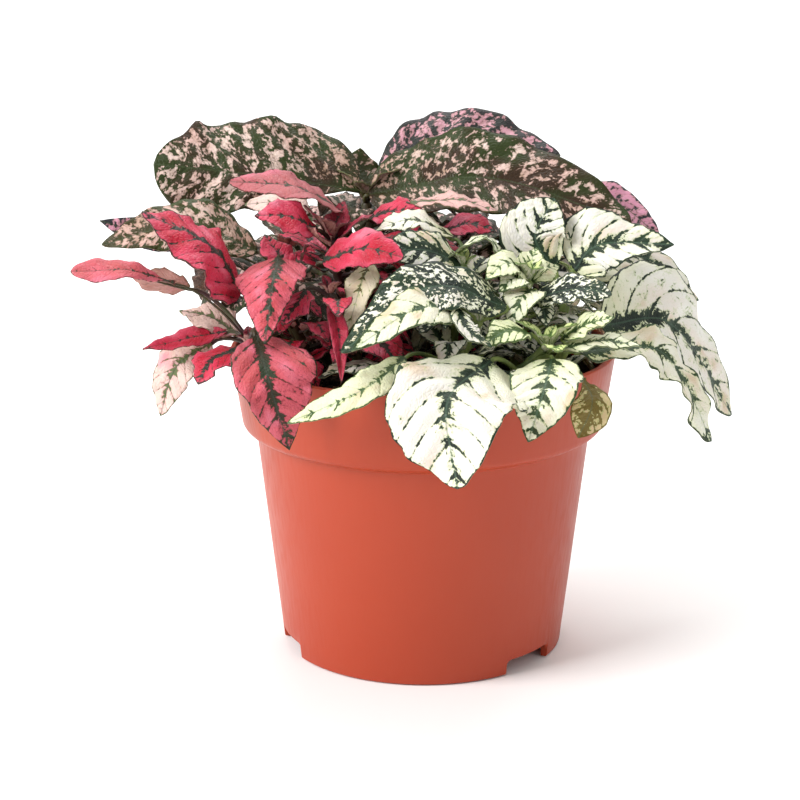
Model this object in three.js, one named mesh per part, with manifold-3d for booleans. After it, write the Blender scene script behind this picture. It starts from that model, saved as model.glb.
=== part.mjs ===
import * as THREE from 'three';
import { mergeVertices } from 'three/addons/utils/BufferGeometryUtils.js';
import Module from 'manifold-3d';

// A mix of three polka dot plants, pink-splashed, red and white, in one 12 cm nursery pot.
// Millimetres, +Z up. The origin is on the ground under the middle of the pot, and -Y is the front.

const wasm = await Module();
wasm.setup();

// Driving sizes of the pot
const POT_HEIGHT = 95.4;
const RIM_RADIUS = 60;
const BAND_BOTTOM_Z = 73.9;
const BAND_BOTTOM_RADIUS = 56.45;
const NECK_RADIUS = 52.3;
const FOOT_RADIUS = 44.3;
const POT_WALL = 1.2;
const RIM_WALL = 1.8;
const FOOT_WALL = 2;
const FOOT_BEVEL = 0.5;
const BAND_CORNER = BAND_BOTTOM_RADIUS - NECK_RADIUS;
const BAND_CORNER_STEPS = 2;
const FLOOR_Z = 5;
const FLOOR_THICKNESS = 1.6;
const POT_SEGMENTS = 36;
const NOTCH_COUNT = 3;
const NOTCH_HEIGHT = 4.5;
const NOTCH_HALF_ANGLE = 13;
const NOTCH_FIRST_AZIMUTH = 48;
const NOTCH_CUT_START = 37;
const NOTCH_CUT_DEPTH = 10;
const NOTCH_CORNER_STEPS = 3;
const DRAIN_COUNT = 6;
const DRAIN_RADIUS = 4;
const DRAIN_RING_RADIUS = 30;
const HOLE_SIDES = 8;
const CUT_SPARE = 1;

// Driving sizes of the potting mix
const GAP = 0.3;
const SOIL_Z = 85;
const SOIL_RINGS = 3;
const LUMP_HEIGHT = 1.2;
const LUMP_RUN_X = 5;
const LUMP_RUN_Y = 6;
const LUMP_RUN_ACROSS = 9;

// Driving sizes of the stems and stalks
const STEM_RADIUS = 1.5;
const STEM_SIDES = 6;
const STEM_STEPS = 5;
const STEM_END_Z = 68;
const STEM_BEND_Z = 83.3;
const STEM_HOLE_TOP_Z = 92;
const HIGHEST_STALK_SHARE = 0.97;
const LINE_TENSION = 0.5;
const STALK_WIDTH = 1.7;
const STALK_THICKNESS = 1.5;
const STALK_ROWS = 2;
const STALK_CLIMB = 0.35;
const STALK_LEAD = 0.4;

// Driving sizes of the blades
const BLADE_THICKNESS = 0.8;
const TIP_HALF_WIDTH = 0.5;
const SIDE_LEAF_RISE = 25;
const EDGE_WAVE = 0.3;
const EDGE_WAVE_PER_WIDTH = 0.035;
const LEAF_PHASE = 1.3;
const FAR_EDGE_PHASE = 1.9;
const NARROW_LEAF = 11;
const WIDE_LEAF = 24;
const NARROW_LEAF_ROWS = 4;
const MIDDLE_LEAF_ROWS = 5;
const WIDE_LEAF_ROWS = 6;
const LEAF_COLUMNS = 2;
const WIDE_LEAF_COLUMNS = 4;
const PLAIN_FORM = { lean: 0, twist: 0, fold: 8, cup: -0.1, waves: 2.5, peak: 0.42, full: 0.9, part: 0.5 };
const MERGE_DISTANCE = 1e-3;

const degrees = THREE.MathUtils.degToRad;
const point = (list) => new THREE.Vector3(...list);

// A leaf is given by three points of its midrib, the foot, the crown and the tip, and its full width.
// lean turns the blade about its midrib and twist adds a turn along it, in degrees, fold is the angle of
// each half against the flat, cup is the bend of the halves, and wave and waves are the height and number
// of its edge's waves. peak is the share of the length where it is widest, with peakNear for the half on
// the near side of the midrib, full is how blunt its ends are, and part is the far half's share of the width.
function leaf(foot, crown, tip, width, form = {}) {
  return { foot, crown, tip, width, ...PLAIN_FORM, wave: EDGE_WAVE + EDGE_WAVE_PER_WIDTH * width, ...form };
}

// A leaf where no photograph reaches grows from its stem by a rule: azimuth from the front towards +X,
// the height of its foot, the length of stalk and blade, and how far the tip hangs.
function sideLeaf(stem, azimuth, footZ, stalk, length, hang, width) {
  const away = new THREE.Vector3(Math.sin(degrees(azimuth)), -Math.cos(degrees(azimuth)), 0);
  const rise = degrees(SIDE_LEAF_RISE);
  const fall = degrees(hang);
  const foot = stemPoint(stem, footZ - stalk * STALK_CLIMB).addScaledVector(away, stalk).setZ(footZ);
  const crown = foot.clone().addScaledVector(away, length / 2 * Math.cos(rise));
  crown.z += length / 2 * Math.sin(rise);
  const tip = crown.clone().addScaledVector(away, length / 2 * Math.cos(fall));
  tip.z -= length / 2 * Math.sin(fall);
  return leaf(foot.toArray(), crown.toArray(), tip.toArray(), width);
}

// The line of a stem: straight up out of the potting mix, then leaning to its top
function stemLine(stem) {
  const [x, y] = stem.root;
  const top = point(stem.top);
  const surface = new THREE.Vector3(x, y, STEM_HOLE_TOP_Z);
  return new THREE.CatmullRomCurve3([
    new THREE.Vector3(x, y, STEM_END_Z), new THREE.Vector3(x, y, STEM_BEND_Z),
    surface, surface.clone().lerp(top, 0.5), top,
  ], false, 'catmullrom', LINE_TENSION);
}

// The place on a stem's line at a height, held to the part above the potting mix
function stemPoint(stem, z) {
  const top = point(stem.top);
  const surface = new THREE.Vector3(...stem.root, STEM_HOLE_TOP_Z);
  const share = THREE.MathUtils.clamp((z - surface.z) / (top.z - surface.z), 0, HIGHEST_STALK_SHARE);
  return surface.lerp(top, share);
}

// The stems, each with its root in the potting mix, its top and its leaves
const stems = [
  {
    name: 'pink_stem_1', kind: 'pink', root: [-14, 18], top: [-18, 26, 137],
    leaves: [
      leaf([-20, 24, 140], [-53, 18, 146], [-84, 14, 150], 36,
        { lean: 58, fold: 0, wave: 1.6, waves: 2.2, peakNear: 0.74, full: 0.5, peak: 0.35, part: 0.58 }),
      leaf([-17, 22, 139], [21, 18, 145], [65, 10, 132], 30,
        { lean: -50, fold: 12, wave: 1.6, peak: 0.4, full: 0.55, part: 0.45 }),
      leaf([-14, 34, 144], [13, 42, 152], [45, 44, 148], 30,
        { lean: -42, full: 0.7, peak: 0.45 }),
    ],
    sides: [
      [170, 124, 8, 40, 50, 32], [95, 116, 8, 32, 35, 20], [275, 112, 8, 26, 45, 20],
      [172, 106, 8, 24, 45, 18],
    ],
  },
  {
    name: 'pink_stem_2', kind: 'pink', root: [-38, 4], top: [-47, -1, 122],
    leaves: [
      leaf([-51, -4, 126], [-71, -8, 135], [-97, -14, 130], 20, { lean: 40, full: 0.7 }),
    ],
    sides: [[255, 118, 5, 22, 25, 18], [200, 117, 5, 26, 40, 18], [110, 106, 5, 20, 35, 16]],
  },
  {
    name: 'pink_stem_3', kind: 'pink', root: [22, 34], top: [34, 40, 130],
    leaves: [
      leaf([40, 40, 135], [60, 31, 136], [75, 20, 126], 12, { lean: -45, full: 0.6 }),
    ],
    sides: [[60, 118, 8, 32, 40, 22], [150, 124, 8, 44, 55, 30], [250, 122, 6, 28, 40, 22]],
  },
  {
    name: 'red_stem_1', kind: 'red', root: [-38, -26], top: [-52, -32, 104],
    leaves: [
      leaf([-70, -24, 119], [-79, -28, 122], [-88, -32, 126], 11, { lean: -50 }),
      leaf([-73, -36, 123], [-86, -42, 128], [-102, -44, 128], 9,
        { lean: 35, waves: 2, full: 0.6, peak: 0.7 }),
      leaf([-49, -44, 109], [-44, -60, 98], [-39, -59, 79], 25, { lean: -10, peak: 0.36, part: 0.4 }),
      leaf([-54, -36, 103], [-62, -42, 101], [-66, -46, 95], 17),
      leaf([-59, -26, 106], [-70, -30, 105], [-83, -36, 103], 8, { lean: 30 }),
      leaf([-64, -24, 102], [-74, -30, 96], [-79, -30, 81], 14, { lean: 40, full: 0.7 }),
      leaf([-56, -22, 104], [-64, -20, 109], [-74, -16, 110], 15, { lean: 15 }),
    ],
  },
  {
    name: 'red_stem_2', kind: 'red', root: [-34, -16], top: [-44, -27, 123],
    leaves: [
      leaf([-54, -28, 119], [-63, -34, 134], [-82, -36, 144], 30,
        { lean: 25, fold: -4, full: 0.7, peak: 0.35 }),
      leaf([-43, -28, 129], [-44, -44, 124], [-46, -50, 108], 21,
        { fold: -10, peak: 0.25, peakNear: 0.15, full: 0.7, part: 0.58 }),
      leaf([-40, -24, 125], [-44, -20, 129], [-48, -14, 133], 12),
    ],
  },
  {
    name: 'red_stem_3', kind: 'red', root: [-22, -6], top: [-28, -12, 132],
    leaves: [
      leaf([-30, -24, 127], [-18, -30, 132], [-6, -34, 130], 15, { lean: -40, full: 0.7 }),
      leaf([-32, -16, 135], [-40, -22, 140], [-50, -26, 141], 14, { lean: 40 }),
      leaf([-24, -6, 138], [-39, -10, 147], [-59, -8, 148], 14, { lean: 20, twist: 60, full: 0.7 }),
      leaf([-35, 0, 137], [-44, 2, 140], [-55, 4, 139], 12, { lean: 40 }),
      leaf([-28, -12, 131], [-31, -14, 137], [-36, -14, 142], 9),
      leaf([-27, -10, 131], [-26, -9, 137], [-24, -6, 142], 9),
      leaf([-26, -12, 130], [-22, -14, 136], [-15, -12, 139], 9),
      leaf([-28, -16, 130], [-32, -20, 134], [-35, -20, 137], 8),
    ],
  },
  {
    name: 'red_stem_4', kind: 'red', root: [-4, 4], top: [-6, 9, 133],
    leaves: [
      leaf([-16, 4, 135], [-8, 0, 138], [0, -2, 138], 12, { lean: -30 }),
      leaf([-4, 2, 140], [10, 0, 141], [23, -2, 138], 12, { lean: -10 }),
      leaf([5, 6, 130], [14, 4, 133], [22, 2, 131], 11, { lean: -30 }),
    ],
    sides: [[75, 112, 6, 22, 35, 16], [160, 106, 6, 20, 30, 18]],
  },
  {
    name: 'red_stem_5', kind: 'red', root: [-18, -26], top: [-28, -29, 119],
    leaves: [
      leaf([-28, -30, 117], [-25, -42, 109], [-24, -52, 97], 6, { fold: 25 }),
      leaf([-18, -34, 106], [-12, -40, 105], [-8, -44, 99], 16),
      leaf([-35, -28, 119], [-38, -32, 115], [-42, -34, 110], 13),
    ],
  },
  {
    name: 'white_stem_1', kind: 'white', root: [8, -30], top: [16, -35, 112],
    leaves: [
      leaf([-6, -46, 103], [-18, -64, 98], [-39, -66, 89], 11, { lean: 30, full: 0.7 }),
      leaf([-8, -36, 97], [-20, -40, 99], [-31, -46, 97], 13),
      leaf([24, -32, 115], [1, -42, 123], [-24, -52, 106], 20, { lean: 35, full: 0.7 }),
      leaf([13, -40, 112], [-1, -50, 119], [-21, -58, 108], 15, { lean: 30 }),
      leaf([9, -44, 118], [12, -52, 113], [19, -54, 108], 8),
    ],
  },
  {
    name: 'white_stem_2', kind: 'white', root: [8, -12], top: [12, -17, 125],
    leaves: [
      leaf([9, -8, 131], [-3, -10, 137], [-15, -14, 134], 12, { lean: 20 }),
      leaf([11, -16, 125], [0, -22, 130], [-14, -26, 130], 15, { lean: 45, full: 0.7 }),
      leaf([5, -16, 125], [18, -18, 133], [24, -20, 125], 8),
      leaf([22, -18, 116], [13, -19, 123], [2, -20, 121], 9),
      leaf([-16, -24, 127], [-19, -30, 120], [-23, -34, 107], 11),
    ],
    sides: [[172, 101, 6, 22, 40, 18]],
  },
  {
    name: 'white_stem_3', kind: 'white', root: [28, -14], top: [31, -21, 121],
    leaves: [
      leaf([40, -6, 121], [34, -5, 131], [40, -2, 142], 22, { lean: 10, full: 0.7, peak: 0.5 }),
      leaf([32, -24, 115], [44, -30, 120], [55, -34, 119], 13, { lean: -30, full: 0.7 }),
      leaf([31, -22, 121], [25, -26, 127], [18, -31, 123], 12, { lean: 30 }),
      leaf([31, -24, 120], [27, -28, 123], [22, -30, 119], 11, { lean: 20 }),
      leaf([32, -20, 120], [32, -18, 125], [34, -14, 129], 11),
      leaf([32, -20, 120], [36, -16, 123], [41, -12, 123], 10, { lean: -30 }),
    ],
  },
  {
    name: 'white_stem_4', kind: 'white', root: [24, -34], top: [36, -37, 104],
    leaves: [
      leaf([19, -46, 102], [6, -73, 97], [9, -77, 73], 39,
        { cup: -0.1, full: 0.6, peak: 0.5, peakNear: 0.33, part: 0.46, lean: 4, twist: -60 }),
      leaf([37, -44, 102], [33, -65, 97], [29, -68, 84], 21, { full: 0.8, peak: 0.32 }),
      leaf([31, -38, 108], [24, -45, 111], [17, -48, 107], 12, { lean: 20 }),
      leaf([36, -38, 103], [38, -43, 106], [38, -47, 105], 8),
      leaf([46, -47, 97], [48, -56, 92], [44, -57, 82], 12, { peak: 0.6 }),
    ],
  },
  {
    name: 'white_stem_5', kind: 'white', root: [38, -24], top: [43, -31, 104],
    leaves: [
      leaf([54, -14, 105], [78, 4, 101], [101, 24, 66], 32, { lean: -60, full: 0.6, part: 0.4, peak: 0.45 }),
      leaf([45, -30, 101], [72, -26, 99], [88, -20, 70], 16,
        { wave: 2.2, lean: -35, twist: -20, full: 0.55, peak: 0.55 }),
      leaf([41, -34, 106], [48, -40, 112], [55, -42, 114], 11, { lean: -30 }),
      leaf([39, -36, 103], [51, -42, 107], [63, -44, 106], 9, { lean: -20 }),
    ],
  },
  {
    name: 'white_stem_6', kind: 'white', root: [40, -4], top: [46, -4, 119],
    leaves: [
      leaf([46, -8, 121], [54, -8, 129], [76, -9, 129], 26, { lean: -45, fold: 15, part: 0.48, peak: 0.33 }),
      leaf([47, 2, 118], [70, 21, 119], [89, 25, 104], 19, { lean: -45, full: 0.7 }),
    ],
    sides: [[160, 110, 5, 26, 40, 18], [210, 102, 6, 20, 35, 18]],
  },
  {
    name: 'pink_stem_4', kind: 'pink', root: [-26, 30], top: [-34, 40, 116],
    sides: [
      [192, 116, 8, 50, 60, 34], [248, 112, 7, 36, 50, 26], [140, 113, 7, 22, 40, 16],
      [215, 101, 10, 40, 68, 26], [172, 98, 12, 34, 72, 19], [20, 118, 4, 18, 20, 13],
      [285, 103, 6, 20, 50, 18],
    ],
  },
  {
    name: 'pink_stem_5', kind: 'pink', root: [2, 38], top: [6, 50, 118],
    sides: [
      [172, 115, 6, 40, 60, 30], [225, 115, 4, 20, 30, 11], [112, 115, 6, 31, 30, 20],
      [195, 102, 10, 34, 72, 24], [145, 101, 10, 38, 66, 24],
    ],
  },
  {
    name: 'pink_stem_6', kind: 'pink', root: [-42, 16], top: [-52, 18, 110],
    sides: [
      [280, 104, 6, 28, 70, 22], [234, 109, 6, 30, 60, 22], [310, 104, 6, 18, 60, 14],
    ],
  },
  {
    name: 'white_stem_7', kind: 'white', root: [36, 20], top: [46, 28, 106],
    sides: [
      [90, 106, 6, 32, 55, 22], [135, 108, 6, 46, 60, 32], [178, 106, 6, 34, 60, 24],
      [112, 94, 8, 28, 75, 18], [60, 100, 8, 26, 55, 16], [160, 98, 12, 28, 72, 18],
    ],
  },
];

// A closed solid from any geometry whose faces already shut it
function toSolid(geometry) {
  const bare = geometry.clone();
  bare.deleteAttribute('normal');
  bare.deleteAttribute('uv');
  const merged = mergeVertices(bare, MERGE_DISTANCE);
  return new wasm.Manifold(new wasm.Mesh({
    numProp: 3,
    vertProperties: new Float32Array(merged.attributes.position.array),
    triVerts: new Uint32Array(merged.index.array),
  }));
}

function toMesh(name, solid, material) {
  const { vertProperties, triVerts } = solid.getMesh();
  const geometry = new THREE.BufferGeometry();
  geometry.setAttribute('position', new THREE.BufferAttribute(vertProperties, 3));
  geometry.setIndex(new THREE.BufferAttribute(triVerts, 1));
  geometry.computeVertexNormals();
  const mesh = new THREE.Mesh(geometry, material);
  mesh.name = name;
  return mesh;
}

// The pot is one thin moulded shell: a tapered body, a wider band round its top, a floor raised
// above the ground, three notches in the foot under it, and a ring of drain holes in the floor.
function makePot() {
  const profile = new THREE.Path();
  profile.moveTo(0, FLOOR_Z);
  profile.lineTo(FOOT_RADIUS - FOOT_WALL, FLOOR_Z);
  profile.lineTo(FOOT_RADIUS - FOOT_WALL, 0);
  profile.lineTo(FOOT_RADIUS - FOOT_BEVEL, 0);
  profile.lineTo(FOOT_RADIUS, FOOT_BEVEL);
  profile.lineTo(NECK_RADIUS, BAND_BOTTOM_Z - BAND_CORNER);
  profile.quadraticCurveTo(
    BAND_BOTTOM_RADIUS, BAND_BOTTOM_Z - BAND_CORNER / 2, BAND_BOTTOM_RADIUS, BAND_BOTTOM_Z);
  profile.lineTo(RIM_RADIUS, POT_HEIGHT);
  profile.lineTo(RIM_RADIUS - RIM_WALL, POT_HEIGHT);
  profile.lineTo(BAND_BOTTOM_RADIUS - POT_WALL, BAND_BOTTOM_Z + POT_WALL);
  profile.lineTo(NECK_RADIUS - POT_WALL, BAND_BOTTOM_Z - BAND_CORNER + POT_WALL);
  profile.lineTo(FOOT_RADIUS - POT_WALL, FLOOR_Z + FLOOR_THICKNESS);
  profile.lineTo(0, FLOOR_Z + FLOOR_THICKNESS);
  const shell = new THREE.LatheGeometry(profile.getPoints(BAND_CORNER_STEPS), POT_SEGMENTS);
  shell.rotateX(Math.PI / 2);
  let solid = toSolid(shell);

  // A notch is a doorway with rounded upper corners, cut through the foot from inside
  const halfWidth = FOOT_RADIUS * Math.sin(degrees(NOTCH_HALF_ANGLE));
  const door = new THREE.Shape();
  door.moveTo(-halfWidth, -CUT_SPARE);
  door.lineTo(halfWidth, -CUT_SPARE);
  door.lineTo(halfWidth, NOTCH_HEIGHT / 2);
  door.quadraticCurveTo(halfWidth, NOTCH_HEIGHT, halfWidth - NOTCH_HEIGHT / 2, NOTCH_HEIGHT);
  door.lineTo(-halfWidth + NOTCH_HEIGHT / 2, NOTCH_HEIGHT);
  door.quadraticCurveTo(-halfWidth, NOTCH_HEIGHT, -halfWidth, NOTCH_HEIGHT / 2);
  for (let i = 0; i < NOTCH_COUNT; i += 1) {
    const cut = new THREE.ExtrudeGeometry(door, {
      depth: NOTCH_CUT_DEPTH, bevelEnabled: false, curveSegments: NOTCH_CORNER_STEPS,
    });
    cut.rotateX(Math.PI / 2);
    cut.translate(0, -NOTCH_CUT_START, 0);
    cut.rotateZ(degrees(NOTCH_FIRST_AZIMUTH + (i * 360) / NOTCH_COUNT));
    solid = solid.subtract(toSolid(cut));
  }
  for (let i = 0; i < DRAIN_COUNT; i += 1) {
    const drill = new THREE.CylinderGeometry(
      DRAIN_RADIUS, DRAIN_RADIUS, FLOOR_THICKNESS + 2 * CUT_SPARE, HOLE_SIDES);
    drill.rotateX(Math.PI / 2);
    drill.translate(DRAIN_RING_RADIUS, 0, FLOOR_Z + FLOOR_THICKNESS / 2);
    drill.rotateZ((i * 2 * Math.PI) / DRAIN_COUNT);
    solid = solid.subtract(toSolid(drill));
  }
  return solid;
}

// The potting mix fills the pot, clear of its wall, with a lumpy top and a plain hole for each stem
function makeSoil() {
  const bottom = FLOOR_Z + FLOOR_THICKNESS + GAP;
  const stepRadius = NECK_RADIUS - POT_WALL - GAP;
  const topRadius = BAND_BOTTOM_RADIUS - POT_WALL - GAP;
  const profile = [
    new THREE.Vector2(0, bottom),
    new THREE.Vector2(FOOT_RADIUS - POT_WALL - GAP, bottom),
    new THREE.Vector2(stepRadius, BAND_BOTTOM_Z - BAND_CORNER + POT_WALL + GAP),
    new THREE.Vector2(topRadius, BAND_BOTTOM_Z + POT_WALL + GAP),
  ];
  for (let i = 0; i < SOIL_RINGS; i += 1) {
    profile.push(new THREE.Vector2(topRadius * (1 - i / SOIL_RINGS), SOIL_Z));
  }
  profile.push(new THREE.Vector2(0, SOIL_Z));
  const body = new THREE.LatheGeometry(profile, POT_SEGMENTS);
  body.rotateX(Math.PI / 2);
  const places = body.attributes.position;
  for (let i = 0; i < places.count; i += 1) {
    const [x, y, z] = [places.getX(i), places.getY(i), places.getZ(i)];
    if (z === SOIL_Z) {
      const fine = Math.sin(x / LUMP_RUN_X) * Math.cos(y / LUMP_RUN_Y + 1);
      const broad = Math.sin((x + y) / LUMP_RUN_ACROSS);
      places.setZ(i, z + LUMP_HEIGHT * (fine + broad));
    }
  }
  let solid = toSolid(body);
  const holeRadius = STEM_RADIUS + 2 * GAP;
  for (const stem of stems) {
    const hole = new THREE.CylinderGeometry(
      holeRadius, holeRadius, STEM_HOLE_TOP_Z - STEM_END_Z + GAP, HOLE_SIDES);
    hole.rotateX(Math.PI / 2);
    hole.translate(...stem.root, (STEM_HOLE_TOP_Z + STEM_END_Z - GAP) / 2);
    solid = solid.subtract(toSolid(hole));
  }
  return solid;
}

// Half the width of a blade at a share of its length, widest at the peak
function halfShare(share, peak, full) {
  const bend = Math.log(0.5) / Math.log(peak);
  return Math.max(Math.sin(Math.PI * share ** bend), 0) ** full;
}

// The rows of a leaf from its stem to its tip: where the middle lies, which way the blade's side and
// upper face point there, and the share t of the midrib, which is negative on the stalk
function leafRows(stem, form) {
  let along = MIDDLE_LEAF_ROWS;
  if (form.width < NARROW_LEAF) along = NARROW_LEAF_ROWS;
  if (form.width >= WIDE_LEAF) along = WIDE_LEAF_ROWS;
  const midrib = new THREE.CatmullRomCurve3(
    [form.foot, form.crown, form.tip].map(point), false, 'catmullrom', LINE_TENSION);
  const chord = point(form.tip).sub(point(form.foot));
  const level = new THREE.Vector3(chord.y, -chord.x, 0).normalize();
  const rows = [];
  for (let i = 0; i <= along; i += 1) {
    const t = i / along;
    const tangent = midrib.getTangent(t);
    const up = level.clone().cross(tangent).normalize();
    const out = tangent.clone().cross(up);
    const turn = degrees(form.lean + form.twist * (t - 0.5));
    const side = out.clone().multiplyScalar(Math.cos(turn)).addScaledVector(up, Math.sin(turn));
    const normal = up.clone().multiplyScalar(Math.cos(turn)).addScaledVector(out, -Math.sin(turn));
    rows.push({ centre: midrib.getPoint(t), side, normal, t });
  }
  const foot = point(form.foot);
  const reach = foot.distanceTo(stemPoint(stem, foot.z));
  const start = stemPoint(stem, foot.z - STALK_CLIMB * reach);
  const lead = midrib.getTangent(0).multiplyScalar(STALK_LEAD * start.distanceTo(foot));
  const stalk = new THREE.QuadraticBezierCurve3(start, foot.clone().sub(lead), foot);
  let { side } = rows[0];
  for (let i = STALK_ROWS - 1; i >= 0; i -= 1) {
    const share = i / STALK_ROWS;
    const tangent = stalk.getTangent(share);
    side = side.clone().addScaledVector(tangent, -side.dot(tangent)).normalize();
    rows.unshift({ centre: stalk.getPoint(share), side, normal: side.clone().cross(tangent), t: -1 });
  }
  return rows;
}

// A leaf in one closed strip: a square stalk out of the stem that widens into a thin waved blade.
// Each row holds the same points above and below, so both faces are split into triangles alike.
function leafSolid(stem, form, phase) {
  const across = form.width < WIDE_LEAF ? LEAF_COLUMNS : WIDE_LEAF_COLUMNS;
  const rows = leafRows(stem, form);
  const fold = degrees(form.fold);
  const upper = [];
  const lower = [];
  for (const { centre, side, normal, t } of rows) {
    for (let j = 0; j <= across; j += 1) {
      const s = (2 * j) / across - 1;
      let out = (STALK_WIDTH / 2) * s;
      let up = 0;
      if (t >= 0) {
        const peak = s > 0 ? form.peak : form.peakNear ?? form.peak;
        const widest = form.width * (s > 0 ? form.part : 1 - form.part);
        const half = Math.max(widest * halfShare(t, peak, form.full), TIP_HALF_WIDTH);
        const shift = s > 0 ? FAR_EDGE_PHASE : 0;
        const ripple = Math.sin(2 * Math.PI * form.waves * t + phase + shift);
        const swell = Math.sqrt(Math.max(Math.sin(Math.PI * t), 0));
        out = half * s * Math.cos(fold);
        up = half * (Math.abs(s) * Math.sin(fold) + form.cup * s * s) + form.wave * swell * s * s * ripple;
      }
      const thickness = t < 0 ? STALK_THICKNESS : BLADE_THICKNESS;
      const middle = centre.clone().addScaledVector(side, out).addScaledVector(normal, up);
      upper.push(middle.clone().addScaledVector(normal, thickness / 2));
      lower.push(middle.clone().addScaledVector(normal, -thickness / 2));
    }
  }

  const faces = [];
  const quad = (a, b, c, d) => faces.push(a, b, c, a, c, d);
  const top = (i, j) => i * (across + 1) + j;
  const under = (i, j) => top(i, j) + upper.length;
  const last = rows.length - 1;
  for (let i = 0; i < last; i += 1) {
    for (let j = 0; j < across; j += 1) {
      quad(top(i, j), top(i, j + 1), top(i + 1, j + 1), top(i + 1, j));
      faces.push(under(i, j), under(i + 1, j + 1), under(i, j + 1));
      faces.push(under(i, j), under(i + 1, j), under(i + 1, j + 1));
    }
    quad(top(i, 0), top(i + 1, 0), under(i + 1, 0), under(i, 0));
    quad(top(i, across), under(i, across), under(i + 1, across), top(i + 1, across));
  }
  for (let j = 0; j < across; j += 1) {
    quad(top(0, j), under(0, j), under(0, j + 1), top(0, j + 1));
    quad(top(last, j), top(last, j + 1), under(last, j + 1), under(last, j));
  }
  const geometry = new THREE.BufferGeometry().setFromPoints([...upper, ...lower]);
  geometry.setIndex(faces);
  return toSolid(geometry);
}

// A leafy stem is one solid: the stem with every leaf it carries
function makeStem(stem) {
  const section = new THREE.Shape();
  for (let i = 0; i < STEM_SIDES; i += 1) {
    const turn = (i * 2 * Math.PI) / STEM_SIDES;
    const [x, y] = [STEM_RADIUS * Math.cos(turn), STEM_RADIUS * Math.sin(turn)];
    if (i === 0) section.moveTo(x, y);
    else section.lineTo(x, y);
  }
  const rod = new THREE.ExtrudeGeometry(section, { steps: STEM_STEPS, extrudePath: stemLine(stem) });
  const leaves = [...(stem.leaves ?? []), ...(stem.sides ?? []).map((row) => sideLeaf(stem, ...row))];
  let solid = toSolid(rod);
  leaves.forEach((form, index) => {
    solid = solid.add(leafSolid(stem, form, LEAF_PHASE * index));
  });
  return solid;
}

const leafMaterials = {
  pink: new THREE.MeshStandardMaterial({ color: 0x8d7a70, roughness: 0.55, metalness: 0 }),
  red: new THREE.MeshStandardMaterial({ color: 0xd8354f, roughness: 0.5, metalness: 0 }),
  white: new THREE.MeshStandardMaterial({ color: 0xe4e4d4, roughness: 0.5, metalness: 0 }),
};
const potMaterial = new THREE.MeshStandardMaterial({ color: 0xc85a3c, roughness: 0.45, metalness: 0 });
const soilMaterial = new THREE.MeshStandardMaterial({ color: 0x3a2c22, roughness: 0.95, metalness: 0 });

const plant = new THREE.Group();
plant.add(toMesh('pot', makePot(), potMaterial));
plant.add(toMesh('potting_mix', makeSoil(), soilMaterial));
for (const stem of stems) {
  plant.add(toMesh(stem.name, makeStem(stem), leafMaterials[stem.kind]));
}

export default plant;
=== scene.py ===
import math

import bmesh
import bpy
import numpy as np
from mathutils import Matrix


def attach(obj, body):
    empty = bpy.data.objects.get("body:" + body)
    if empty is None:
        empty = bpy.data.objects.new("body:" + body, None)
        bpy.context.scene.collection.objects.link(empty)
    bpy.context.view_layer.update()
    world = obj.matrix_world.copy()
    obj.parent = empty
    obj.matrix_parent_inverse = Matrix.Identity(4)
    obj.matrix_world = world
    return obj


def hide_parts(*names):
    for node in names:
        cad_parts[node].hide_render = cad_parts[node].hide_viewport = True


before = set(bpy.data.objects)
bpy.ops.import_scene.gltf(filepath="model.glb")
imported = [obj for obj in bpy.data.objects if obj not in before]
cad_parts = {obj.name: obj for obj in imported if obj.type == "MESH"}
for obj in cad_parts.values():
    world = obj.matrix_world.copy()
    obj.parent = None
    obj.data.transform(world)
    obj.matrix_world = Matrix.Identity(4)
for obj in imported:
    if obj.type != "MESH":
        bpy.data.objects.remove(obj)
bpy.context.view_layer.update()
MM = 0.001
UP = np.array([0.0, 0.0, 1.0])

# Pot
# A 12 cm nursery pot, injection moulded in terracotta-coloured polypropylene in one shot: a tapered body,
# a wide stiffening band round its top, a raised floor with drain holes, and a foot ring with three notches.
POT_HEIGHT = 95.4
RIM_RADIUS = 60.0
RIM_WALL = 1.8
BAND_Z = 73.9
BAND_RADIUS = 56.45
NECK_RADIUS = 52.3
BAND_STEP = BAND_RADIUS - NECK_RADIUS
FOOT_RADIUS = 44.3
FOOT_WALL = 2.0
POT_WALL = 1.2
FLOOR_Z = 5.0
FLOOR_WALL = 1.6
ROUNDING = 0.6
NOTCH_COUNT = 3
NOTCH_HEIGHT = 4.5
NOTCH_HALF_ANGLE = 13.0
NOTCH_FIRST_AZIMUTH = 318.0
NOTCH_CORNER_ANGLE = 3.0
DRAIN_COUNT = 6
DRAIN_RADIUS = 4.0
DRAIN_RING_RADIUS = 30.0
DRILL_SIDES = 32
POT_COLUMNS = 240
SHARP_ANGLE = 40.0
MERGE_DISTANCE = 0.001


def linear(hex_colour):
    """An sRGB hex colour as linear RGBA: c turns to ((c + 0.055) / 1.055) ^ 2.4, or if small to c / 12.92."""
    channels = [int(hex_colour[i:i + 2], 16) / 255 for i in (1, 3, 5)]
    return [c / 12.92 if c < 0.04045 else ((c + 0.055) / 1.055) ** 2.4 for c in channels] + [1.0]


def add(tree, kind, inputs=(), **settings):
    """Adds a shader node. An input is a value, or the socket that feeds it. Of a MapRange, inputs 1 to 4
    are the ends of its two ranges. Of a Mix, inputs 6 and 7 are its colours."""
    new = tree.nodes.new("ShaderNode" + kind)
    for key, value in settings.items():
        setattr(new, key, value)
    for key, value in dict(inputs).items():
        if isinstance(value, bpy.types.NodeSocket):
            tree.links.new(value, new.inputs[key])
        else:
            new.inputs[key].default_value = value
    return new.outputs


def new_tree(name):
    """The empty node tree of a new material."""
    material = bpy.data.materials.new(name)
    material.use_nodes = True
    material.node_tree.nodes.clear()
    return material.node_tree


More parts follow.
